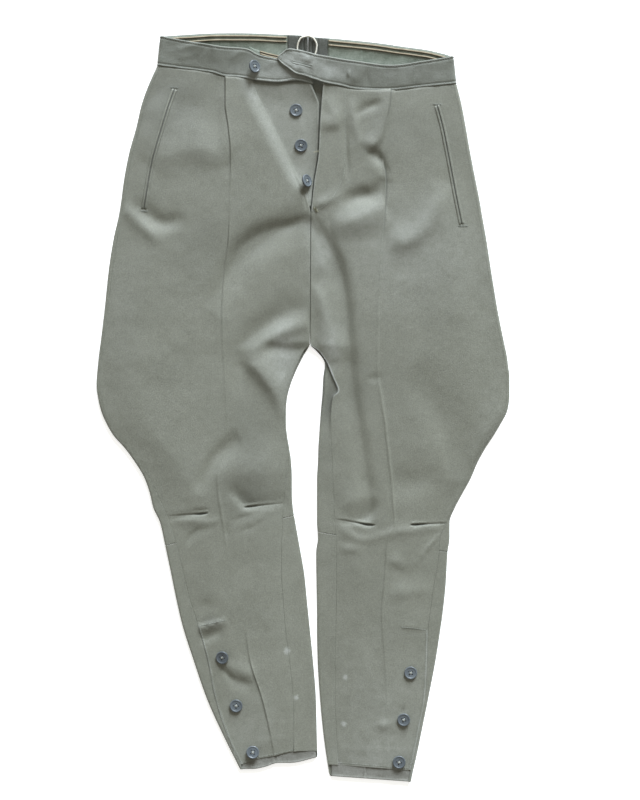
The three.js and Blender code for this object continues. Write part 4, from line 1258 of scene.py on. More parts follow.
LINING_DEPTHS = np.array([1.6, 1.9, 2.3, 3, 5, 7, 9, 12, 15, 18, 21, 24, 27, 30, 33, 35.5, 36])
FACING_DEPTHS = np.array([0.8, 1.1, 1.6, 2.4, 5, 8, 12, 16, 20, 24, 28, 32, 35, 36])
FACING = 1.2  # wall of the centre back facing


def waist_inside():
    """Both halves of the waist's lining, then both of the facing at the centre back."""
    lining = (LINING_DEPTHS, LINING, lining_swell)
    facing = (FACING_DEPTHS, FACING, facing_swell)
    strips = [
        ("waist_lining_right_cloth", RIGHT_BAND_BACK, (-182, -20.5, 100), lining),
        ("waist_lining_left_cloth", LEFT_BAND_BACK, (190, 32.5, 100), lining),
        ("centre_back_facing_right_cloth", RIGHT_BAND_BACK, (-19.5, 6.35, 66), facing),
        ("centre_back_facing_left_cloth", LEFT_BAND_BACK, (31.5, 6.65, 66), facing),
    ]
    return [strip_inside(name, back, np.linspace(*run), *kind) for name, back, run, kind in strips]


CORD_SIDES = 12
CORD_FLATTENING = 0.65


def cord(name, path, radius):
    return new_mesh(name, *tube_parts(path, radius, CORD_SIDES, CORD_FLATTENING))


def waist_cord(name, back, from_x, to_x, depth):
    """A cord on the lining side of the band, at a depth below its top edge."""
    stations = np.linspace(from_x, to_x, 90)
    level = depth + 0 * stations
    y, z = inner_face(back, stations, depth)
    wander = 0.25 * soft_noise(stations, level, 14, 25)
    top = z + LINING + 0.35 + lining_swell(stations, level)
    return cord(name, np.stack([stations, y + wander, top], axis=1), 1.35)


# End of the front band's own lining, as (low x, low y, top x, top y)
FRONT_BAND_LINING = [
    (-70, 462, -70, 469.5), (-57, 455, -58, 464.5), (-42, 451, -44, 460.5), (-29, 450, -29, 457),
]


def front_band_lining():
    rows = spaced(through(FRONT_BAND_LINING, 10), 1.2)
    v = np.array([0, 0.05, 0.12, 0.25, 0.4, 0.55, 0.7, 0.82, 0.9, 0.95, 1])
    x = lerp(rows[:, 0:1], rows[:, 2:3], v)
    y = lerp(rows[:, 1:2], rows[:, 3:4], v)
    z = 6.3 + 0.2 * soft_noise(x, y, 8, 27) - rounded_off(np.minimum(v, 1 - v) * 9, 0.6)[None, :]
    return over_under("front_band_lining_cloth", x, y, z, 0 * z + 5.3)


def front_band_cord(name, share):
    rows = through(FRONT_BAND_LINING[1:], 12)
    x = lerp(rows[:, 0], rows[:, 2], share)
    y = lerp(rows[:, 1], rows[:, 3], share)
    path = np.stack([x, y, 6.7 + 0 * x], axis=1)
    return cord(name, path[2:-1], 1.15)


def loop_bends():
    """The bends of the hanging loop, lying on the facing at the centre back."""
    path = np.array(LOOP_PATH)
    curve = through(sorted(RIGHT_BAND_BACK + LEFT_BAND_BACK), 10)
    top_y = np.interp(path[:, 0], curve[:, 0], curve[:, 1])
    depth = clamped(top_y - path[:, 1], 0, 34)
    z = back_band_lift(1 - depth / BACK_BAND) + BAND + FACING + 2.0
    z = z + 0.6 * smooth((path[:, 1] - 470) / 10)
    return np.column_stack([path, z]) * MM


def hanging_loop():
    """A ring of wire, bent by hand where it goes up from the band and comes down again."""
    deselect_all()
    bpy.ops.curve.primitive_bezier_circle_add(radius=14 * MM, location=(0, 0, 0))
    wire = bpy.context.object
    wire.name = "hanging_loop_wire"
    in_mode("EDIT")
    bpy.ops.curve.select_all(action="SELECT")
    bpy.ops.curve.subdivide(number_cuts=3)
    bpy.ops.curve.handle_type_set(type="AUTOMATIC")
    in_mode("OBJECT")
    for bend, place in zip(wire.data.splines[0].bezier_points, loop_bends()):
        bend.co = place
    wire.data.resolution_u = 6
    wire.data.bevel_depth = WIRE / 2 * MM
    wire.data.bevel_resolution = 4
    bpy.ops.object.convert(target="MESH")
    in_mode("EDIT")
    bpy.ops.mesh.select_all(action="SELECT")
    bpy.ops.mesh.remove_doubles(threshold=0.01 * MM)
    bpy.ops.mesh.normals_make_consistent(inside=False)
    in_mode("OBJECT")
    bpy.ops.object.shade_smooth()
    deselect_all()
    return wire


# ---- pockets and hems ----

JET_STEP = 1.3  # between points along a jet
JET_OFFSETS = np.array([0.15, 0.35, 0.7, 1.2, 1.9, 2.6, 3.1, 3.45, 3.6])  # from the mouth's middle
# Painted shade across each jet: darkest in the mouth's gap, darker again at its outer edge
JET_SHADE = np.array([1, 1, 0.6, 0.1, 0, 0, 0.1, 0.4, 0.6])  # how dark the jet is there


def pocket_jet(name, leg, mouth, away):
    """One rounded jet beside a pocket mouth. away is +1 for the jet on the +X side."""
    line = spaced(through(mouth, 10), JET_STEP)
    ahead = unit_rows(np.gradient(line, axis=0))
    normal = np.stack([-ahead[:, 1], ahead[:, 0]], axis=1)
    normal *= np.sign(normal[:, :1]) * away
    x = line[:, 0:1] + normal[:, 0:1] * JET_OFFSETS
    y = line[:, 1:2] + normal[:, 1:2] * JET_OFFSETS
    base = front_height(leg, x, y)
    profile = np.sin(math.pi * clamped((JET_OFFSETS + 0.5) / 4.6, 0, 1)) ** 0.7
    tip = from_ends(len(line), JET_STEP)
    from_side = np.minimum(JET_OFFSETS - JET_OFFSETS[0], JET_OFFSETS[-1] - JET_OFFSETS)
    turned = rounded_off(np.minimum(tip, from_side[None, :]), 0.6)
    top = base + 0.15 + profile[None, :] * smooth(tip / 4 + 0.4) - turned
    jet = over_under(name, x, y, top, base - 0.5)
    marked(jet, "shaded", np.tile(JET_SHADE, 2 * len(line)))
    return jet


def hem_facing(name, leg, front_hem, back_hem, seam_x):
    """The hem turned up inside the back, which shows below the shorter front."""
    s = section(leg, np.array(leg["bottom"][0] - 4.0))
    ends = sorted((float(s["outer"]) + leg["side"] * 2.6, float(s["inner"]) - leg["side"] * 2.6))
    stations = np.linspace(ends[0], ends[1], 84)
    v = np.array([0, 0.012, 0.03, 0.06, 0.1, 0.15, 0.2, 0.26, 0.33, 0.42, 0.52, 0.64, 0.78, 0.9, 1])
    x = np.repeat(stations[:, None], len(v), axis=1)
    low = line_at(back_hem, x) + 0.3
    high = line_at(front_hem, x) + 24
    y = lerp(low, high, v)
    from_edge = np.minimum(y - low, np.minimum(x - ends[0], ends[1] - x))
    seam = 0.7 * bell(x - seam_x, 1.3) - 0.5 * bell(x - seam_x - 2.6, 0.9)
    sewn_down = -0.3 * bell(y - low - 2.4, 0.8)
    rough = uneven(x, y, [(0.3, 15, 31), (0.15, 5, 32)])
    edge_rise = 0.9 * smooth(1 - (y - low) / 5)
    z = 3.5 + seam + sewn_down + rough + edge_rise - np.minimum(rounded_off(from_edge, 0.9), 0.8)
    return over_under(name, x, y, z, 0 * z + CLOTH + 0.1)


# ---- stitches ----


THREAD_SIDES = 6


def one_stitch(start, end, radius):
    middle = (start + end) / 2
    path = np.array([start, lerp(start, middle, 0.35), middle, lerp(end, middle, 0.35), end])
    path[1:-1, 2] += radius * 0.5
    return tube_parts(path, radius, THREAD_SIDES, 0.8, ends=0.5)


def stitched(name, lines, surface, pitch=3.4, length=2.3, radius=0.3, sink=0.0):
    """Rows of stitches along lines of (x, y) points. surface gives the cloth's height at (x, y)."""
    parts = []
    for line in lines:
        run = spaced(np.asarray(line, float), pitch)
        ahead = unit_rows(np.gradient(run, axis=0))
        starts = run - ahead * length / 2
        ends = run + ahead * length / 2
        start_z = surface(starts[:, 0], starts[:, 1])
        end_z = surface(ends[:, 0], ends[:, 1])
        for k in range(len(run)):
            start = np.array([*starts[k], start_z[k] - sink])
            end = np.array([*ends[k], end_z[k] - sink])
            parts.append(one_stitch(start, end, radius))
    return gathered(name, parts)


def on_front(leg):
    return lambda x, y: front_height(leg, np.asarray(x), np.asarray(y))


def on_grid(grid):
    """Height of a piece's upper face, from the points of its outer grid."""
    points = grid.reshape(-1, 3)
    points = points[points[:, 2] > 5]

    def height(x, y):
        x = np.atleast_1d(x)
        y = np.atleast_1d(y)
        away = (points[None, :, 0] - x[:, None]) ** 2 + (points[None, :, 1] - y[:, None]) ** 2
        nearest = np.argsort(away, axis=1)[:, :4]
        weight = 1 / (np.take_along_axis(away, nearest, axis=1) + 0.05)
        return (points[nearest, 2] * weight).sum(axis=1) / weight.sum(axis=1)

    return height


def zigzag(start, end, width, count):
    """Close thread laid back and forth over a line, as a bar tack is."""
    start = np.array(start, float)
    end = np.array(end, float)
    ahead = (end - start) / np.linalg.norm(end - start)
    across = np.array([-ahead[1], ahead[0]]) * width / 2
    points = []
    for k in range(count):
        middle = lerp(start, end, k / (count - 1))
        points.append(middle + across * (1 if k % 2 else -1))
    return np.array(points)


def bar_tack(start, end, width, surface, count=14, radius=0.32):
    points = zigzag(start, end, width, count)
    z = surface(points[:, 0], points[:, 1]) + 0.35
    return tube_parts(np.column_stack([points, z]), radius, THREAD_SIDES)


# ---- buttons ----


def select_faces(mesh, chosen):
    in_mode("OBJECT")
    for part in (mesh.vertices, mesh.edges, mesh.polygons):
        part.foreach_set("select", np.zeros(len(part), dtype=bool))
    for face in mesh.polygons:
        face.select = chosen(face)
    in_mode("EDIT")
    bpy.ops.mesh.select_mode(type="FACE")


# Rings of a button's face and back from the edge inwards, as (width, how far all inside it rises)
FACE_RINGS = [(0.5, 0.4), (1.0, 0), (0.6, -0.45), (2.4, -0.12)]
BACK_RINGS = [(1.4, -0.5)]
HOLE_PLACE = 1.9  # x and y of a thread hole's middle
HOLE_FOOT = -0.45 * MM  # the thread fills the holes below this height


def cut_rings(rings):
    for width, rise in rings:
        bpy.ops.mesh.inset(thickness=width * MM)
        if rise:
            bpy.ops.transform.translate(value=(0, 0, rise * MM))


def model_button():
    """A four-hole trouser button lying flat at the origin, its middle at the origin."""
    deselect_all()
    radius = BUTTON_RADIUS * MM
    bpy.ops.mesh.primitive_cylinder_add(vertices=40, radius=radius, depth=2.1 * MM, location=(0, 0, 0))
    button = bpy.context.object
    button.name = "button_pattern"
    select_faces(button.data, lambda face: face.normal.z > 0.9)
    cut_rings(FACE_RINGS)
    select_faces(button.data, lambda face: face.normal.z < -0.9)
    cut_rings(BACK_RINGS)
    in_mode("OBJECT")
    soften(button, 0.3 * MM, 3)
    for x, y in ((1, 1), (-1, 1), (-1, -1), (1, -1)):
        drill(button, x * HOLE_PLACE * MM, y * HOLE_PLACE * MM, 1.0 * MM)
    select_only(button)
    bpy.ops.object.shade_smooth_by_angle(angle=math.radians(35))
    # The holes' floors are marked for painted shade
    marked(button, "hole", points_of(button)[:, 2] < HOLE_FOOT / MM + 0.02)
    return button


def soften(item, width, segments):
    bevel = item.modifiers.new("rounded edges", "BEVEL")
    bevel.width = width
    bevel.segments = segments
    bevel.limit_method = "ANGLE"
    bevel.angle_limit = math.radians(20)
    select_only(item)
    bpy.ops.object.modifier_apply(modifier=bevel.name)


def drill(item, x, y, radius):
    deselect_all()
    length = 8 * MM
    middle = (x, y, HOLE_FOOT + length / 2)
    bpy.ops.mesh.primitive_cylinder_add(vertices=16, radius=radius, depth=length, location=middle)
    bit = bpy.context.object
    hole = item.modifiers.new("thread hole", "BOOLEAN")
    hole.operation = "DIFFERENCE"
    hole.solver = "EXACT"
    hole.object = bit
    select_only(item)
    bpy.ops.object.modifier_apply(modifier=hole.name)
    bpy.data.objects.remove(bit, do_unlink=True)


def seated(surface, x, y, turned):
    """How high a button's middle stands for its underside to rest on the cloth."""
    angles = np.arange(24) * math.pi / 12
    needed = []
    for part in (0.45, 0.75, 0.97):
        for angle in angles:
            foot = turned @ Vector((
                math.cos(angle) * part * BUTTON_RADIUS, math.sin(angle) * part * BUTTON_RADIUS, -1.2
            ))
            needed.append((x + foot.x, y + foot.y, foot.z))
    needed = np.array(needed)
    return float(np.max(surface(needed[:, 0], needed[:, 1]) - needed[:, 2])) - 0.35


def place_buttons(pattern, surfaces):
    buttons = []
    threads = []
    for name, place, x, y, tilt, turn in BUTTONS:
        turned = Matrix.Rotation(math.radians(turn), 4, "Z") @ Matrix.Rotation(math.radians(tilt), 4, "Y")
        height = seated(surfaces[place], x, y, turned.to_3x3())
        where = Matrix.Translation((x * MM, y * MM, height * MM)) @ turned
        mesh = pattern.data.copy()
        mesh.transform(where)
        button = bpy.data.objects.new(name + "_moulded", mesh)
        link(button)
        buttons.append(button)
        threads.append(button_thread(name + "_thread", where))
    bpy.data.objects.remove(pattern, do_unlink=True)
    return buttons, threads


def button_thread(name, where):
    """Thread crossed through the four holes."""
    parts = []
    for across, along in (((-1.8, -1.8), (1.8, 1.8)), ((-1.8, 1.8), (1.8, -1.8))):
        for shift in (-0.22, 0.22):
            start = np.array([across[0] + shift, across[1], 0.0])
            end = np.array([along[0] + shift, along[1], 0.0])
            t = np.linspace(0, 1, 9)[:, None]
            path = lerp(start, end, t)
            path[:, 2] += 1.5 * np.sin(t[:, 0] * math.pi) ** 0.5 - 0.35
            parts.append(tube_parts(path, 0.25, THREAD_SIDES))
    item = gathered(name, parts)
    item.data.transform(where)
    return item


# ---- materials ----


def node(tree, kind, **settings):
    made = tree.nodes.new(kind)
    for key, value in settings.items():
        setattr(made, key, value)
    return made


def math_node(tree, operation, first, second=None):
    made = node(tree, "ShaderNodeMath", operation=operation)
    for socket, value in zip(made.inputs, (first, second)):
        if value is None:
            continue
        if isinstance(value, (int, float)):
            socket.default_value = value
        else:
            tree.links.new(value, socket)
    return made.outputs[0]


def times(tree, first, second):
    return math_node(tree, "MULTIPLY", first, second)


def plus(tree, first, second):
    return math_node(tree, "ADD", first, second)


def attribute(tree, name):
    """The numbers that marked() has kept on a piece under that name."""
    return node(tree, "ShaderNodeAttribute", attribute_name=name).outputs["Fac"]


def new_group(name, inputs, outputs):
    tree = bpy.data.node_groups.new(name, "ShaderNodeTree")
    for socket, kind, value in inputs:
        made = tree.interface.new_socket(socket, in_out="INPUT", socket_type=kind)
        if value is not None:
            made.default_value = value
    for socket, kind in outputs:
        tree.interface.new_socket(socket, in_out="OUTPUT", socket_type=kind)
    return tree, tree.nodes.new("NodeGroupInput"), tree.nodes.new("NodeGroupOutput")


def noise(tree, vector, scale, detail=2.0, roughness=0.5):
    made = node(tree, "ShaderNodeTexNoise")
    made.inputs["Scale"].default_value = scale
    made.inputs["Detail"].default_value = detail
    made.inputs["Roughness"].default_value = roughness
    tree.links.new(vector, made.inputs["Vector"])
    return made.outputs["Fac"]


def twill_group():
    """Diagonal ribs of twisted yarn. Height is 0 to 1, Yarn is the tone of single yarns about 0.5."""
    tree, given, out = new_group(
        "twill weave",
        [("Vector", "NodeSocketVector", None), ("Ribs per metre", "NodeSocketFloat", 1100.0)],
        [("Height", "NodeSocketFloat"), ("Yarn", "NodeSocketFloat")],
    )
    parts = node(tree, "ShaderNodeSeparateXYZ")
    tree.links.new(given.outputs["Vector"], parts.inputs[0])
    sway = times(tree, noise(tree, given.outputs["Vector"], 90, 1), 0.0022)
    along = times(tree, parts.outputs["X"], 0.82)
    rib = plus(tree, times(tree, parts.outputs["Y"], 0.57), along)
    rib = plus(tree, rib, sway)
    turns = times(tree, given.outputs["Ribs per metre"], 6.2832)  # a whole turn for each rib
    ribs = math_node(tree, "SINE", times(tree, rib, turns))
    warp = math_node(tree, "SINE", times(tree, parts.outputs["X"], times(tree, turns, 1.6)))
    woven = plus(tree, times(tree, ribs, 0.32), times(tree, warp, 0.1))
    yarn = noise(tree, given.outputs["Vector"], 720, 2, 0.7)
    fuzz = times(tree, math_node(tree, "SUBTRACT", yarn, 0.5), 0.9)
    height = plus(tree, plus(tree, woven, fuzz), 0.5)
    tree.links.new(height, out.inputs["Height"])
    tree.links.new(yarn, out.inputs["Yarn"])
    return tree


def mottle_group():
    """Uneven tone of worn wool. Broad, Patchy and Grain are each 0 to 1."""
    tree, given, out = new_group(
        "worn wool tone",
        [("Vector", "NodeSocketVector", None)],
        [("Broad", "NodeSocketFloat"), ("Patchy", "NodeSocketFloat"), ("Grain", "NodeSocketFloat")],
    )
    vector = given.outputs["Vector"]
    tree.links.new(noise(tree, vector, 16, 3, 0.55), out.inputs["Broad"])
    tree.links.new(noise(tree, vector, 110, 4, 0.65), out.inputs["Patchy"])
    tree.links.new(noise(tree, vector, 430, 3, 0.8), out.inputs["Grain"])
    return tree


def spot_group():
    """Soft-edged spot round a place, 1 at its middle."""
    tree, given, out = new_group(
        "worn spot",
        [
            ("Vector", "NodeSocketVector", None),
            ("Place", "NodeSocketVector", (0.0, 0.0, 0.0)),
            ("Across", "NodeSocketFloat", 0.004),
        ],
        [("Mask", "NodeSocketFloat")],
    )
    flat = node(tree, "ShaderNodeVectorMath", operation="MULTIPLY")
    flat.inputs[1].default_value = (1.0, 1.0, 0.0)
    tree.links.new(given.outputs["Vector"], flat.inputs[0])
    away = node(tree, "ShaderNodeVectorMath", operation="DISTANCE")
    tree.links.new(flat.outputs[0], away.inputs[0])
    tree.links.new(given.outputs["Place"], away.inputs[1])
    grain = math_node(tree, "SUBTRACT", noise(tree, given.outputs["Vector"], 300, 3), 0.5)
    ragged = times(tree, grain, 0.005)
    distance = plus(tree, away.outputs["Value"], ragged)
    share = math_node(tree, "DIVIDE", distance, given.outputs["Across"])
    inside = node(tree, "ShaderNodeMapRange", interpolation_type="SMOOTHSTEP")
    inside.inputs["From Min"].default_value = 1.0
    inside.inputs["From Max"].default_value = 0.2
    tree.links.new(share, inside.inputs["Value"])
    tree.links.new(inside.outputs[0], out.inputs["Mask"])
    return tree


TWILL = twill_group()
MOTTLE = mottle_group()
SPOT = spot_group()


def use_group(tree, group, vector, **values):
    made = node(tree, "ShaderNodeGroup", node_tree=group)
    tree.links.new(vector, made.inputs["Vector"])
    for key, value in values.items():
        made.inputs[key.replace("_", " ")].default_value = value
    return made


def mixed(tree, factor, first, second, blend="MIX"):
    made = node(tree, "ShaderNodeMix", data_type="RGBA", blend_type=blend)
    for socket, value in ((made.inputs[0], factor), (made.inputs[6], first), (made.inputs[7], second)):
        if isinstance(value, (int, float, tuple)):
            socket.default_value = value if isinstance(value, (int, float)) else (*value, 1.0)
        else:
            tree.links.new(value, socket)
    return made.outputs[2]


def ranged(tree, value, low, high, to_low=0.0, to_high=1.0):
    made = node(tree, "ShaderNodeMapRange")
    for key, number in (("From Min", low), ("From Max", high), ("To Min", to_low), ("To Max", to_high)):
        made.inputs[key].default_value = number
    tree.links.new(value, made.inputs["Value"])
    return made.outputs[0]


def new_material(name):
    """A material, its tree and shader, the place on the piece and the wool's uneven tone there."""
    material = bpy.data.materials.new(name)
    material.use_nodes = True
    tree = material.node_tree
    shader = tree.nodes["Principled BSDF"]
    place = node(tree, "ShaderNodeTexCoord").outputs["Object"]
    tone = use_group(tree, MOTTLE, place).outputs
    return material, tree, shader, place, tone


def painted(tree, shader, colour, roughness):
    tree.links.new(colour, shader.inputs["Base Color"])
    tree.links.new(roughness, shader.inputs["Roughness"])


def bumped(tree, shader, height, distance, strength=1.0):
    bump = node(tree, "ShaderNodeBump")
    bump.inputs["Strength"].default_value = strength
    bump.inputs["Distance"].default_value = distance
    tree.links.new(height, bump.inputs["Height"])
    tree.links.new(bump.outputs["Normal"], shader.inputs["Normal"])


# Places where the cloth is rubbed pale, as (x, y, across) in millimetres
WORN_SPOTS = [(-20.8, -316.5, 6.5), (-9, -377.5, 5), (55.2, -351, 5), (53.3, -411.5, 5.5)]
# Tones of the cloth, as linear colours
# Pale of rubbed wear, also used for painted highlights
PALE_WEAR_AND_LIGHT = (0.36, 0.37, 0.345)
CREASE_SHADE = (0.025, 0.026, 0.021)
SKY = (0.88, 0.94, 1.0, 1.0)  # the tint that the nap takes from the window


def with_wear_and_painted_light(tree, colour, place, tone):
    """The pale of rubbed places, of painted highlights and of the worn spots, and the painted shade of
    what is always in shade.
    """
    ragged = ranged(tree, tone["Patchy"], 0.3, 0.7, 0.5, 1.1)
    # Paler where wear or painted highlight is marked
    colour = mixed(tree, times(tree, attribute(tree, "wear_and_light"), ragged), colour, PALE_WEAR_AND_LIGHT)
    on_top = attribute(tree, "on_top")
    for x, y, across in WORN_SPOTS:
        spot = use_group(tree, SPOT, place, Place=(x * MM, y * MM, 0.0), Across=across * MM)
        amount = times(tree, times(tree, spot.outputs["Mask"], 0.62), on_top)
        colour = mixed(tree, amount, colour, PALE_WEAR_AND_LIGHT)
    return mixed(tree, times(tree, attribute(tree, "shaded"), 0.75), colour, CREASE_SHADE)


def wool(name, shade, light):
    """Fine grey-green wool twill. shade and light are the two tones that it wanders between."""
    material, tree, shader, place, tone = new_material(name)
    weave = use_group(tree, TWILL, place, Ribs_per_metre=1100.0)
    broad = times(tree, tone["Broad"], 0.25)
    patchy = times(tree, tone["Patchy"], 0.2)
    fine = times(tree, tone["Grain"], 0.55)
    level = plus(tree, plus(tree, broad, patchy), fine)
    colour = mixed(tree, ranged(tree, level, 0.34, 0.66), shade, light)
    yarn = ranged(tree, weave.outputs["Yarn"], 0.25, 0.75, 0.84, 1.16)
    toned = node(tree, "ShaderNodeVectorMath", operation="SCALE")
    tree.links.new(with_wear_and_painted_light(tree, colour, place, tone), toned.inputs[0])
    tree.links.new(yarn, toned.inputs["Scale"])
    painted(tree, shader, toned.outputs[0], ranged(tree, tone["Patchy"], 0.3, 0.7, 0.5, 0.6))
    shader.inputs["Specular IOR Level"].default_value = 0.5
    shader.inputs["Sheen Weight"].default_value = 0.12
    shader.inputs["Sheen Roughness"].default_value = 0.45
    shader.inputs["Sheen Tint"].default_value = SKY
    grainy = plus(tree, weave.outputs["Height"], times(tree, tone["Grain"], 0.8))
    bumped(tree, shader, grainy, 0.00022)
    return material


def plain_lining(name, shade, light):
    """Fine plain cloth with ribs almost twice as close as the wool's."""
    material, tree, shader, place, tone = new_material(name)
    weave = use_group(tree, TWILL, place, Ribs_per_metre=1900.0)
    level = plus(tree, tone["Patchy"], math_node(tree, "SUBTRACT", tone["Grain"], 0.5))
    colour = mixed(tree, ranged(tree, level, 0.3, 0.7), shade, light)
    painted(tree, shader, colour, ranged(tree, tone["Broad"], 0.3, 0.7, 0.55, 0.7))
    shader.inputs["Specular IOR Level"].default_value = 0.35
    bumped(tree, shader, weave.outputs["Height"], 0.00012)
    return material


def tan_cord(name):
    """Tan cord whose side towards the band's lower edge, turned away from the light, is painted dark
    brown as shade.
    """
    material, tree, shader, place, tone = new_material(name)
    strands = noise(tree, place, 900, 2, 0.7)
    level = ranged(tree, tone["Patchy"], 0.3, 0.7)
    tan = mixed(tree, level, (0.205, 0.165, 0.105), (0.30, 0.25, 0.17))
    uneven_edge = times(tree, math_node(tree, "SUBTRACT", strands, 0.5), 0.6)
    shaded_side = ranged(tree, plus(tree, attribute(tree, "lower_edge"), uneven_edge), 0.1, 0.35)
    # Painted shade on the cord's side towards the band's lower edge
    colour = mixed(tree, shaded_side, tan, (0.05, 0.035, 0.02))
    painted(tree, shader, colour, ranged(tree, strands, 0.3, 0.7, 0.6, 0.8))
    bumped(tree, shader, strands, 0.0002)
    return material


def moulded_slate(name):
    """Slate blue-grey moulded button, half gloss, with fine scuffs and painted shade in its holes."""
    material, tree, shader, _, tone = new_material(name)
    level = ranged(tree, times(tree, plus(tree, tone["Patchy"], tone["Broad"]), 0.5), 0.35, 0.65)
    colour = mixed(tree, level, (0.066, 0.078, 0.089), (0.115, 0.131, 0.143))
    # Painted shade in the holes
    colour = mixed(tree, attribute(tree, "hole"), colour, (0.012, 0.013, 0.014))
    painted(tree, shader, colour, ranged(tree, tone["Grain"], 0.3, 0.7, 0.26, 0.44))
    shader.inputs["Specular IOR Level"].default_value = 0.55
    bumped(tree, shader, tone["Grain"], 0.00005)
    return material


def thread(name, dark, pale):
    material, tree, shader, place, tone = new_material(name)
    twist = noise(tree, place, 1800, 1)
    colour = mixed(tree, ranged(tree, tone["Patchy"], 0.3, 0.7), dark, pale)
    painted(tree, shader, colour, ranged(tree, twist, 0.3, 0.7, 0.5, 0.75))
    bumped(tree, shader, twist, 0.0001)
    return material


def coated_wire(name):
    material, tree, shader, _, tone = new_material(name)
    level = ranged(tree, tone["Patchy"], 0.3, 0.75)
    colour = mixed(tree, level, (0.86, 0.84, 0.76), (0.62, 0.58, 0.48))
    painted(tree, shader, colour, ranged(tree, tone["Grain"], 0.3, 0.7, 0.35, 0.6))
    bumped(tree, shader, tone["Patchy"], 0.0001)
    return material


def table_top(name):
    """A white table, bright enough that the garment's shadow on it stays faint."""
    material, tree, shader, place, _ = new_material(name)
    colour = mixed(tree, noise(tree, place, 3, 2), (0.9, 0.9, 0.9), (0.93, 0.93, 0.93))
    tree.links.new(colour, shader.inputs["Base Color"])
    shader.inputs["Roughness"].default_value = 0.9
    shader.inputs["Specular IOR Level"].default_value = 0.1
    shader.inputs["Emission Color"].default_value = (1.0, 1.0, 1.0, 1.0)
    shader.inputs["Emission Strength"].default_value = 0.6
    return material


def marked(item, name, values):
    """Keeps one number per vertex for a material to read."""
    layer = item.data.attributes.new(name, "FLOAT", "POINT")
    layer.data.foreach_set("value", np.asarray(values, dtype=np.float32).ravel())


def points_of(item):
    points = np.empty(len(item.data.vertices) * 3, dtype=np.float32)
    item.data.vertices.foreach_get("co", points)
    return points.reshape(-1, 3) / MM


def finish_with(item, material):
    item.data.materials.clear()
    item.data.materials.append(material)


# ---- the garment's materials ----

WOOL = wool("grey-green wool twill", (0.134, 0.136, 0.106), (0.196, 0.198, 0.160))
BAND_WOOL = wool("waistband wool twill", (0.112, 0.117, 0.094), (0.164, 0.170, 0.142))
# A darker copy of the wool: painted shade for the facing that lies in shadow at the centre back
SHADED_INNER_WOOL = wool("inside wool twill", (0.062, 0.065, 0.054), (0.105, 0.110, 0.094))
LINING_CLOTH = plain_lining("grey-green lining", (0.170, 0.198, 0.158), (0.248, 0.275, 0.228))
HEM_CLOTH = plain_lining("hem lining", (0.150, 0.148, 0.128), (0.200, 0.198, 0.176))
CORD_CLOTH = tan_cord("tan piping cord")
SLATE = moulded_slate("slate moulded button")
PALE_THREAD = thread("pale sewing thread", (0.15, 0.16, 0.135), (0.29, 0.30, 0.27))
BUTTON_THREAD = thread("cream button thread", (0.26, 0.27, 0.24), (0.46, 0.46, 0.41))
STRAW_THREAD = thread("straw bar tack thread", (0.30, 0.28, 0.17), (0.48, 0.46, 0.30))
CREAM_WIRE = coated_wire("cream coated wire")


# ---- the garment's pieces ----


def dressed(item, slot, material, *nodes):
    finish_with(item, material)
    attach(item, "root")
    if nodes:
        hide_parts(*nodes)
    return item


def edge_wear_and_highlight(leg, x, y):
    """The folded edges of the fly and of the legs' closures are painted pale: partly rubbed wear,
    partly painted highlight where an edge catches the light. The right front's roll beside the fly
    gets a broad painted highlight, and the left front's free edge below the crotch a strong one.
    """
    from_edge, from_inner = from_seams(leg, section(leg, y), x)
    wear = 0.4 * smooth((leg["closure"] - y) / 6) * bell(from_edge - 0.9, 0.8)
    if leg is RIGHT:
        # Broad painted highlight along the right front's roll beside the fly
        return wear + 0.27 * smooth((y - 275) / 30) * bell(from_inner - 8, 9)
    wear = wear + 0.35 * smooth((y - 250) / 10) * bell(from_inner - 0.9, 0.8)
    below_crotch = smooth((y - 12) / 6) * (1 - smooth((y - 82) / 4))
    # Strong painted highlight on the left front's free edge below the crotch
    return wear + 1.1 * below_crotch * bell(from_inner - 0.5, 1.1)


# Broad areas painted paler or darker than the rest, each (x, y, reach across, reach along,
# amount), where a plus is paler and a minus is darker: painted light and painted shade over the
# broad folds, with some uneven fading
FADING_AND_PAINTED_LIGHT = [
    (139, 205, 95, 66, 0.26),
    (24, 200, 15, 34, 0.3),
    (9, 236, 9, 12, 0.25),
    (-24, 66, 17, 40, 0.5),
    (36, 78, 14, 38, 0.36),
    (110, -415, 70, 92, 0.17),
    (96, -462, 60, 24, 0.24),
    (-70, -440, 40, 62, 0.2),
    (-30, 418, 40, 16, 0.16),
    (-40, 412, 44, 14, 0.2),
    (-232, 140, 30, 120, -0.04),
    (-165, 400, 56, 46, -0.34),
    (-119, -278, 13, 9, -0.4),
    (-125, 215, 50, 40, -0.16),
    (-70, -118, 36, 22, -0.3),
    (-62, -45, 28, 60, -0.22),
    (70, 20, 60, 40, -0.1),
    (86, -150, 22, 12, -0.2),
    (130, 352, 60, 40, -0.12),
]


def area_tone(x, y, areas, level=0.0):
    """How much paler, or darker, the areas are than the rest of the cloth."""
    for middle_x, middle_y, across, along, amount in areas:
        level = level + amount * patch(x, y, middle_x, middle_y, across, along)
    return level


def under_open_fold(leg, x, y):
    """The inside of the left thigh lies back in the shade of the front's free edge."""
    if leg is RIGHT:
        return 0 * x
    past_edge = smooth((section(leg, y)["inner_seam"] - x) / 0.6)
    darkest = smooth((70 - y) / 14) * (1 - 0.85 * smooth((12 - y) / 46))
    return 0.75 * past_edge * darkest * smooth((y + 110) / 60)


def band_edge_wear_and_highlight(face):
    """The band's two folded edges are painted pale along their rolls: partly rubbed wear, partly
    painted highlight where the rolls catch the light.
    """
    height = np.linalg.norm(face[:, -1] - face[:, 0], axis=1)[:, None]
    v = band_columns()[None, :]
    from_edge = np.minimum(v, 1 - v) * height
    wear = 0.22 * bell(from_edge - 1.4, 0.9)
    return np.tile(wear.ravel(), 2)


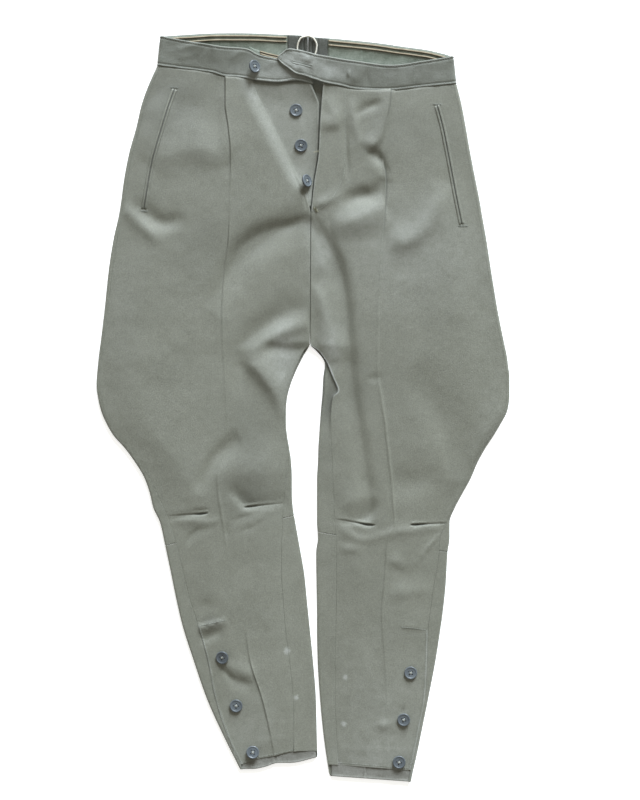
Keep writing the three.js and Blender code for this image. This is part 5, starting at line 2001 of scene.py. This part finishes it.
def mark_wear_and_painted_light(item, leg, lies_under=False):
    """Marks where the cloth is painted paler and darker. Standing folds are painted paler than the
    hollows. The folded edges and the paler broad areas add wear, fading and painted light; the pleat
    steps, darts, the open fold and the darker broad areas add painted shade. The underside has no
    fly, darts or closures.
    """
    x, y, z = points_of(item).T
    on_top = smooth((z - 1.5) / 1.5) if lies_under else 0 * x + 1
    marked(item, "on_top", on_top)
    # Broad painted light and shade, with some uneven fading
    tone = area_tone(x, y, FADING_AND_PAINTED_LIGHT)
    paler_by_height = clamped(0.02 + relief(x, y) * 0.03, 0, 0.2)
    marked(item, "wear_and_light", paler_by_height + (edge_wear_and_highlight(leg, x, y) + clamped(tone, 0, 1)) * on_top)
    # Painted shade in the darts' grooves
    darts = clamped(dart_depth(x, y, 1.1) / 2, 0, 1)
    deepest = np.maximum(np.maximum(crease_shade(leg, x, y), darts), under_open_fold(leg, x, y))
    marked(item, "shaded", np.maximum(deepest, clamped(-tone, 0, 1)) * on_top)


right_front = front_panel("front_right_cloth", RIGHT, (-165, -118))
left_front = front_panel("front_left_cloth", LEFT, (-178, -140))
for piece, leg, replaced in ((right_front, RIGHT, "front_right"), (left_front, LEFT, "front_left")):
    mark_wear_and_painted_light(piece, leg)
    dressed(piece, "outer_cloth", WOOL, replaced)

stand = dressed(fly_stand(), "outer_cloth", WOOL, "fly_stand")

right_back_top = (RIGHT_TOP - SEAM_GAP, back_seam(RIGHT_BAND_SIDE, 1, RIGHT_BAND_BACK))
left_back_top = (LEFT_TOP - SEAM_GAP, back_seam(LEFT_BAND_SIDE, -1, LEFT_BAND_BACK))
KNEE_GAP = 0.15  # from the middle of the seam behind the knee to each panel
right_above_knee = (RIGHT_KNEE, raised(RIGHT_KNEE_SEAM, KNEE_GAP))
left_above_knee = (LEFT_KNEE, raised(LEFT_KNEE_SEAM, KNEE_GAP))
right_below_knee = (RIGHT_KNEE, raised(RIGHT_KNEE_SEAM, -KNEE_GAP))
left_below_knee = (LEFT_KNEE, raised(LEFT_KNEE_SEAM, -KNEE_GAP))
backs = {
    "back_upper_right": (RIGHT, right_back_top, right_above_knee),
    "back_upper_left": (LEFT, left_back_top, left_above_knee),
    "back_lower_right": (RIGHT, right_below_knee, (RIGHT_BACK_FOOT, RIGHT_BACK_HEM)),
    "back_lower_left": (LEFT, left_below_knee, (LEFT_BACK_FOOT, LEFT_BACK_HEM)),
}
front_hems = {"back_lower_right": raised(RIGHT_HEM, 0.1), "back_lower_left": raised(LEFT_HEM, 0.1)}
for node_name, (leg, top, bottom) in backs.items():
    piece = back_panel(node_name + "_cloth", leg, top, bottom, front_hems.get(node_name))
    mark_wear_and_painted_light(piece, leg, lies_under=True)
    dressed(piece, "outer_cloth", WOOL, node_name)

right_stations = band_stations(RIGHT_BAND_FRONT, RIGHT_BAND_BACK, RIGHT_BAND_SIDE, 1)
left_stations = band_stations(LEFT_BAND_FRONT, LEFT_BAND_BACK, LEFT_BAND_SIDE, -1)
right_band, right_band_face = band_half("waistband_right_cloth", right_stations, 1)
left_band, left_band_face = band_half("waistband_left_cloth", left_stations, -1)
# Paler places of the waistband, in the same form as the broad areas above: on the right half
# painted light where the tab would shade the band, on the left half worn places
RIGHT_BAND_PAINTED_LIGHT = [(-36, 434, 50, 14, 0.5)]
LEFT_BAND_WEAR = [(-8, 450, 26, 14, 0.6), (36, 437, 24, 12, 0.45), (120, 434, 60, 9, 0.15)]
for piece, face, replaced, spots in (
    (right_band, right_band_face, "waistband_right", RIGHT_BAND_PAINTED_LIGHT),
    (left_band, left_band_face, "waistband_left", LEFT_BAND_WEAR),
):
    x, y, _ = points_of(piece).T
    marked(piece, "wear_and_light", clamped(area_tone(x, y, spots, band_edge_wear_and_highlight(face)), 0, 1))
    dressed(piece, "outer_cloth", BAND_WOOL, replaced)

inside = waist_inside()
for piece, slot, material, replaced in zip(
    inside,
    ("lining_cloth", "lining_cloth", "outer_cloth", "outer_cloth"),
    (LINING_CLOTH, LINING_CLOTH, SHADED_INNER_WOOL, SHADED_INNER_WOOL),
    ("waist_lining_right", "waist_lining_left", "centre_back_facing_right", "centre_back_facing_left"),
):
    dressed(piece, slot, material, replaced)
band_lining = dressed(front_band_lining(), "lining_cloth", LINING_CLOTH, "front_band_lining")

cords = [
    waist_cord("waist_cord_1_right_cord", RIGHT_BAND_BACK, -178, -20.8, 4.4),
    waist_cord("waist_cord_2_right_cord", RIGHT_BAND_BACK, -178, -20.8, 9.6),
    waist_cord("waist_cord_1_left_cord", LEFT_BAND_BACK, 186, 32.8, 4.4),
    waist_cord("waist_cord_2_left_cord", LEFT_BAND_BACK, 186, 32.8, 9.6),
    front_band_cord("front_band_cord_1", 0.9),
    front_band_cord("front_band_cord_2", 0.56),
]
# Painted shade on each side of a cord that runs towards +X: how far it faces the band's lower
# edge, away from the light
CORD_SHADE_SIDES = np.array([max(0.0, math.cos(k * 2 * math.pi / CORD_SIDES)) for k in range(CORD_SIDES)])
for piece in cords:
    shaded_side = CORD_SHADE_SIDES
    if piece.name.endswith("left_cord"):
        shaded_side = np.roll(shaded_side, CORD_SIDES // 2)
    marks = np.concatenate([np.tile(shaded_side, (len(piece.data.vertices) - 2) // CORD_SIDES), [0, 0]])
    marked(piece, "lower_edge", marks)
    node_name = piece.name.removesuffix("_cord")
    replaced = [node_name] if node_name.startswith("waist_cord") else []
    dressed(piece, "tan_cord", CORD_CLOTH, *replaced)

loop = dressed(hanging_loop(), "cream_wire", CREAM_WIRE, "hanging_loop")

jets = []
for node_name, leg, mouth, away in (
    ("pocket_jet_outer_right", RIGHT, RIGHT_POCKET, -1),
    ("pocket_jet_inner_right", RIGHT, RIGHT_POCKET, 1),
    ("pocket_jet_outer_left", LEFT, LEFT_POCKET, 1),
    ("pocket_jet_inner_left", LEFT, LEFT_POCKET, -1),
):
    jets.append(dressed(pocket_jet(node_name + "_cloth", leg, mouth, away), "outer_cloth", WOOL, node_name))

hem_right = hem_facing("hem_facing_right_cloth", RIGHT, RIGHT_HEM, RIGHT_BACK_HEM, -38.5)
hem_left = hem_facing("hem_facing_left_cloth", LEFT, LEFT_HEM, LEFT_BACK_HEM, 80)
dressed(hem_right, "lining_cloth", HEM_CLOTH, "hem_facing_right")
dressed(hem_left, "lining_cloth", HEM_CLOTH, "hem_facing_left")

right_cloth = on_front(RIGHT)
left_cloth = on_front(LEFT)
right_band_cloth = on_grid(right_band_face)
left_band_cloth = on_grid(left_band_face)

# Stitches as (x, y): the fly's, down its front and round its foot, the tab's, round its point and
# back, and the two edges of its buttonhole
FLY_STITCH = [
    (54.6, 410), (54.6, 370), (54.4, 330), (53, 303), (48.5, 291), (42, 279), (34, 267), (22, 258),
    (12, 255),
]


def band_edge_line(points, share, start=0):
    """A line of stitches along the band's front at a share of the way up it."""
    curve = through(points[start:], 10)
    return lerp(curve[:, 0:2], curve[:, 2:4], share)


TAB_STITCH = [
    (12, 457.5), (1, 460.3), (-17, 463.4), (-25, 459), (-29.5, 454), (-25, 447.5), (-17.5, 443),
    (-7.5, 436.3), (3, 433.4), (14, 429.5),
]
BUTTONHOLE = [(-14.3, 450.9), (-6, 448.7), (4, 446.4), (11.7, 444.4)]
BUTTONHOLE_LOWER = [(-14.3, 448.1), (-6, 445.9), (4, 443.6), (11.7, 441.6)]

threads = [
    stitched("fly_topstitching", [through(FLY_STITCH, 12)], left_cloth, sink=0.05),
    stitched(
        "right_band_topstitching",
        [band_edge_line(RIGHT_BAND_FRONT, 0.92), band_edge_line(RIGHT_BAND_FRONT, 0.075)],
        right_band_cloth,
    ),
    stitched(
        "left_band_topstitching",
        [
            band_edge_line(LEFT_BAND_FRONT, 0.92, 4),
            band_edge_line(LEFT_BAND_FRONT, 0.075, 4),
            through(TAB_STITCH, 8),
            [(144.3, 448), (144.3, 436), (144.5, 417)],
        ],
        left_band_cloth,
    ),
    stitched(
        "buttonhole_stitching",
        [through(BUTTONHOLE, 8), through(BUTTONHOLE_LOWER, 8)],
        left_band_cloth,
        pitch=1.0,
        length=0.9,
        radius=0.42,
    ),
    stitched(
        "right_leg_topstitching",
        [
            [(-134, -284), (-118, -280), (-101.5, -276.5)],
            [(-134.6, -286), (-122.6, -328), (-112, -380), (-94.6, -432), (-79, -464)],
            [(-79, -463), (-58, -455), (-37, -451), (-16, -446.2), (16, -444.6)],
        ],
        right_cloth,
    ),
    stitched(
        "left_leg_topstitching",
        [
            [(129, -285.5), (145, -287), (158, -289)],
            [(160.6, -291), (159.4, -330), (157, -375), (149.6, -417), (139, -467)],
            [(36, -461.5), (90, -465.5), (139, -469.6)],
        ],
        left_cloth,
    ),
]
for piece in threads:
    dressed(piece, "outer_cloth", PALE_THREAD)

pocket_bars = gathered(
    "pocket_bar_tacks",
    [
        bar_tack((-172, 416), (-162, 416), 2.2, right_cloth),
        bar_tack((-211, 255.5), (-202, 255), 2.2, right_cloth),
        bar_tack((168.6, 394), (180.5, 394), 2.2, left_cloth),
        bar_tack((201.5, 236), (214.5, 236), 2.2, left_cloth),
    ],
)
dressed(pocket_bars, "outer_cloth", PALE_THREAD)
fly_bars = gathered(
    "fly_bar_tacks",
    [
        bar_tack((13.8, 331.5), (20.5, 333), 2, left_cloth, 10),
        bar_tack((14.5, 260), (18.5, 254), 3, left_cloth, 12),
    ],
)
dressed(fly_bars, "outer_cloth", STRAW_THREAD)

surfaces = {
    "band": right_band_cloth,
    "stand": lambda x, y: stand_height(np.asarray(x), np.asarray(y)),
    "right": right_cloth,
    "left": left_cloth,
}
buttons, button_threads = place_buttons(model_button(), surfaces)
for button, sewn, (node_name, *_) in zip(buttons, button_threads, BUTTONS):
    dressed(button, "slate_button", SLATE, node_name)
    dressed(sewn, "outer_cloth", BUTTON_THREAD)

# Painted highlight over the whole button stand, a faint one on the jets, none on the facings
for level, pieces in ((0.24, [stand]), (0.05, jets), (0, inside[2:])):
    for piece in pieces:
        marked(piece, "wear_and_light", np.full(len(piece.data.vertices), level))

# ---- table and light ----

deselect_all()
bpy.ops.mesh.primitive_plane_add(size=30, location=(0, 0, -0.0003))
table = bpy.context.object
table.name = "table"
finish_with(table, table_top("pale table"))

bpy.context.scene.view_settings.view_transform = "Standard"
LIGHT_WAY = Vector((1.3, 4.5, 1.873))  # from the table towards the big soft window at the waist end
window = bpy.data.lights.new("window light", "SUN")
window.energy = 8.5
window.angle = math.radians(30)
window.color = (0.87, 0.955, 1.04)
window_light = bpy.data.objects.new("window light", window)
window_light.location = LIGHT_WAY
window_light.rotation_euler = LIGHT_WAY.to_track_quat("Z", "Y").to_euler()
link(window_light)
world = bpy.data.worlds.new("soft room")
world.use_nodes = True
world.node_tree.nodes["Background"].inputs["Color"].default_value = (1.0, 0.975, 0.88, 1.0)
world.node_tree.nodes["Background"].inputs["Strength"].default_value = 0.42
bpy.context.scene.world = world

bpy.context.view_layer.update()
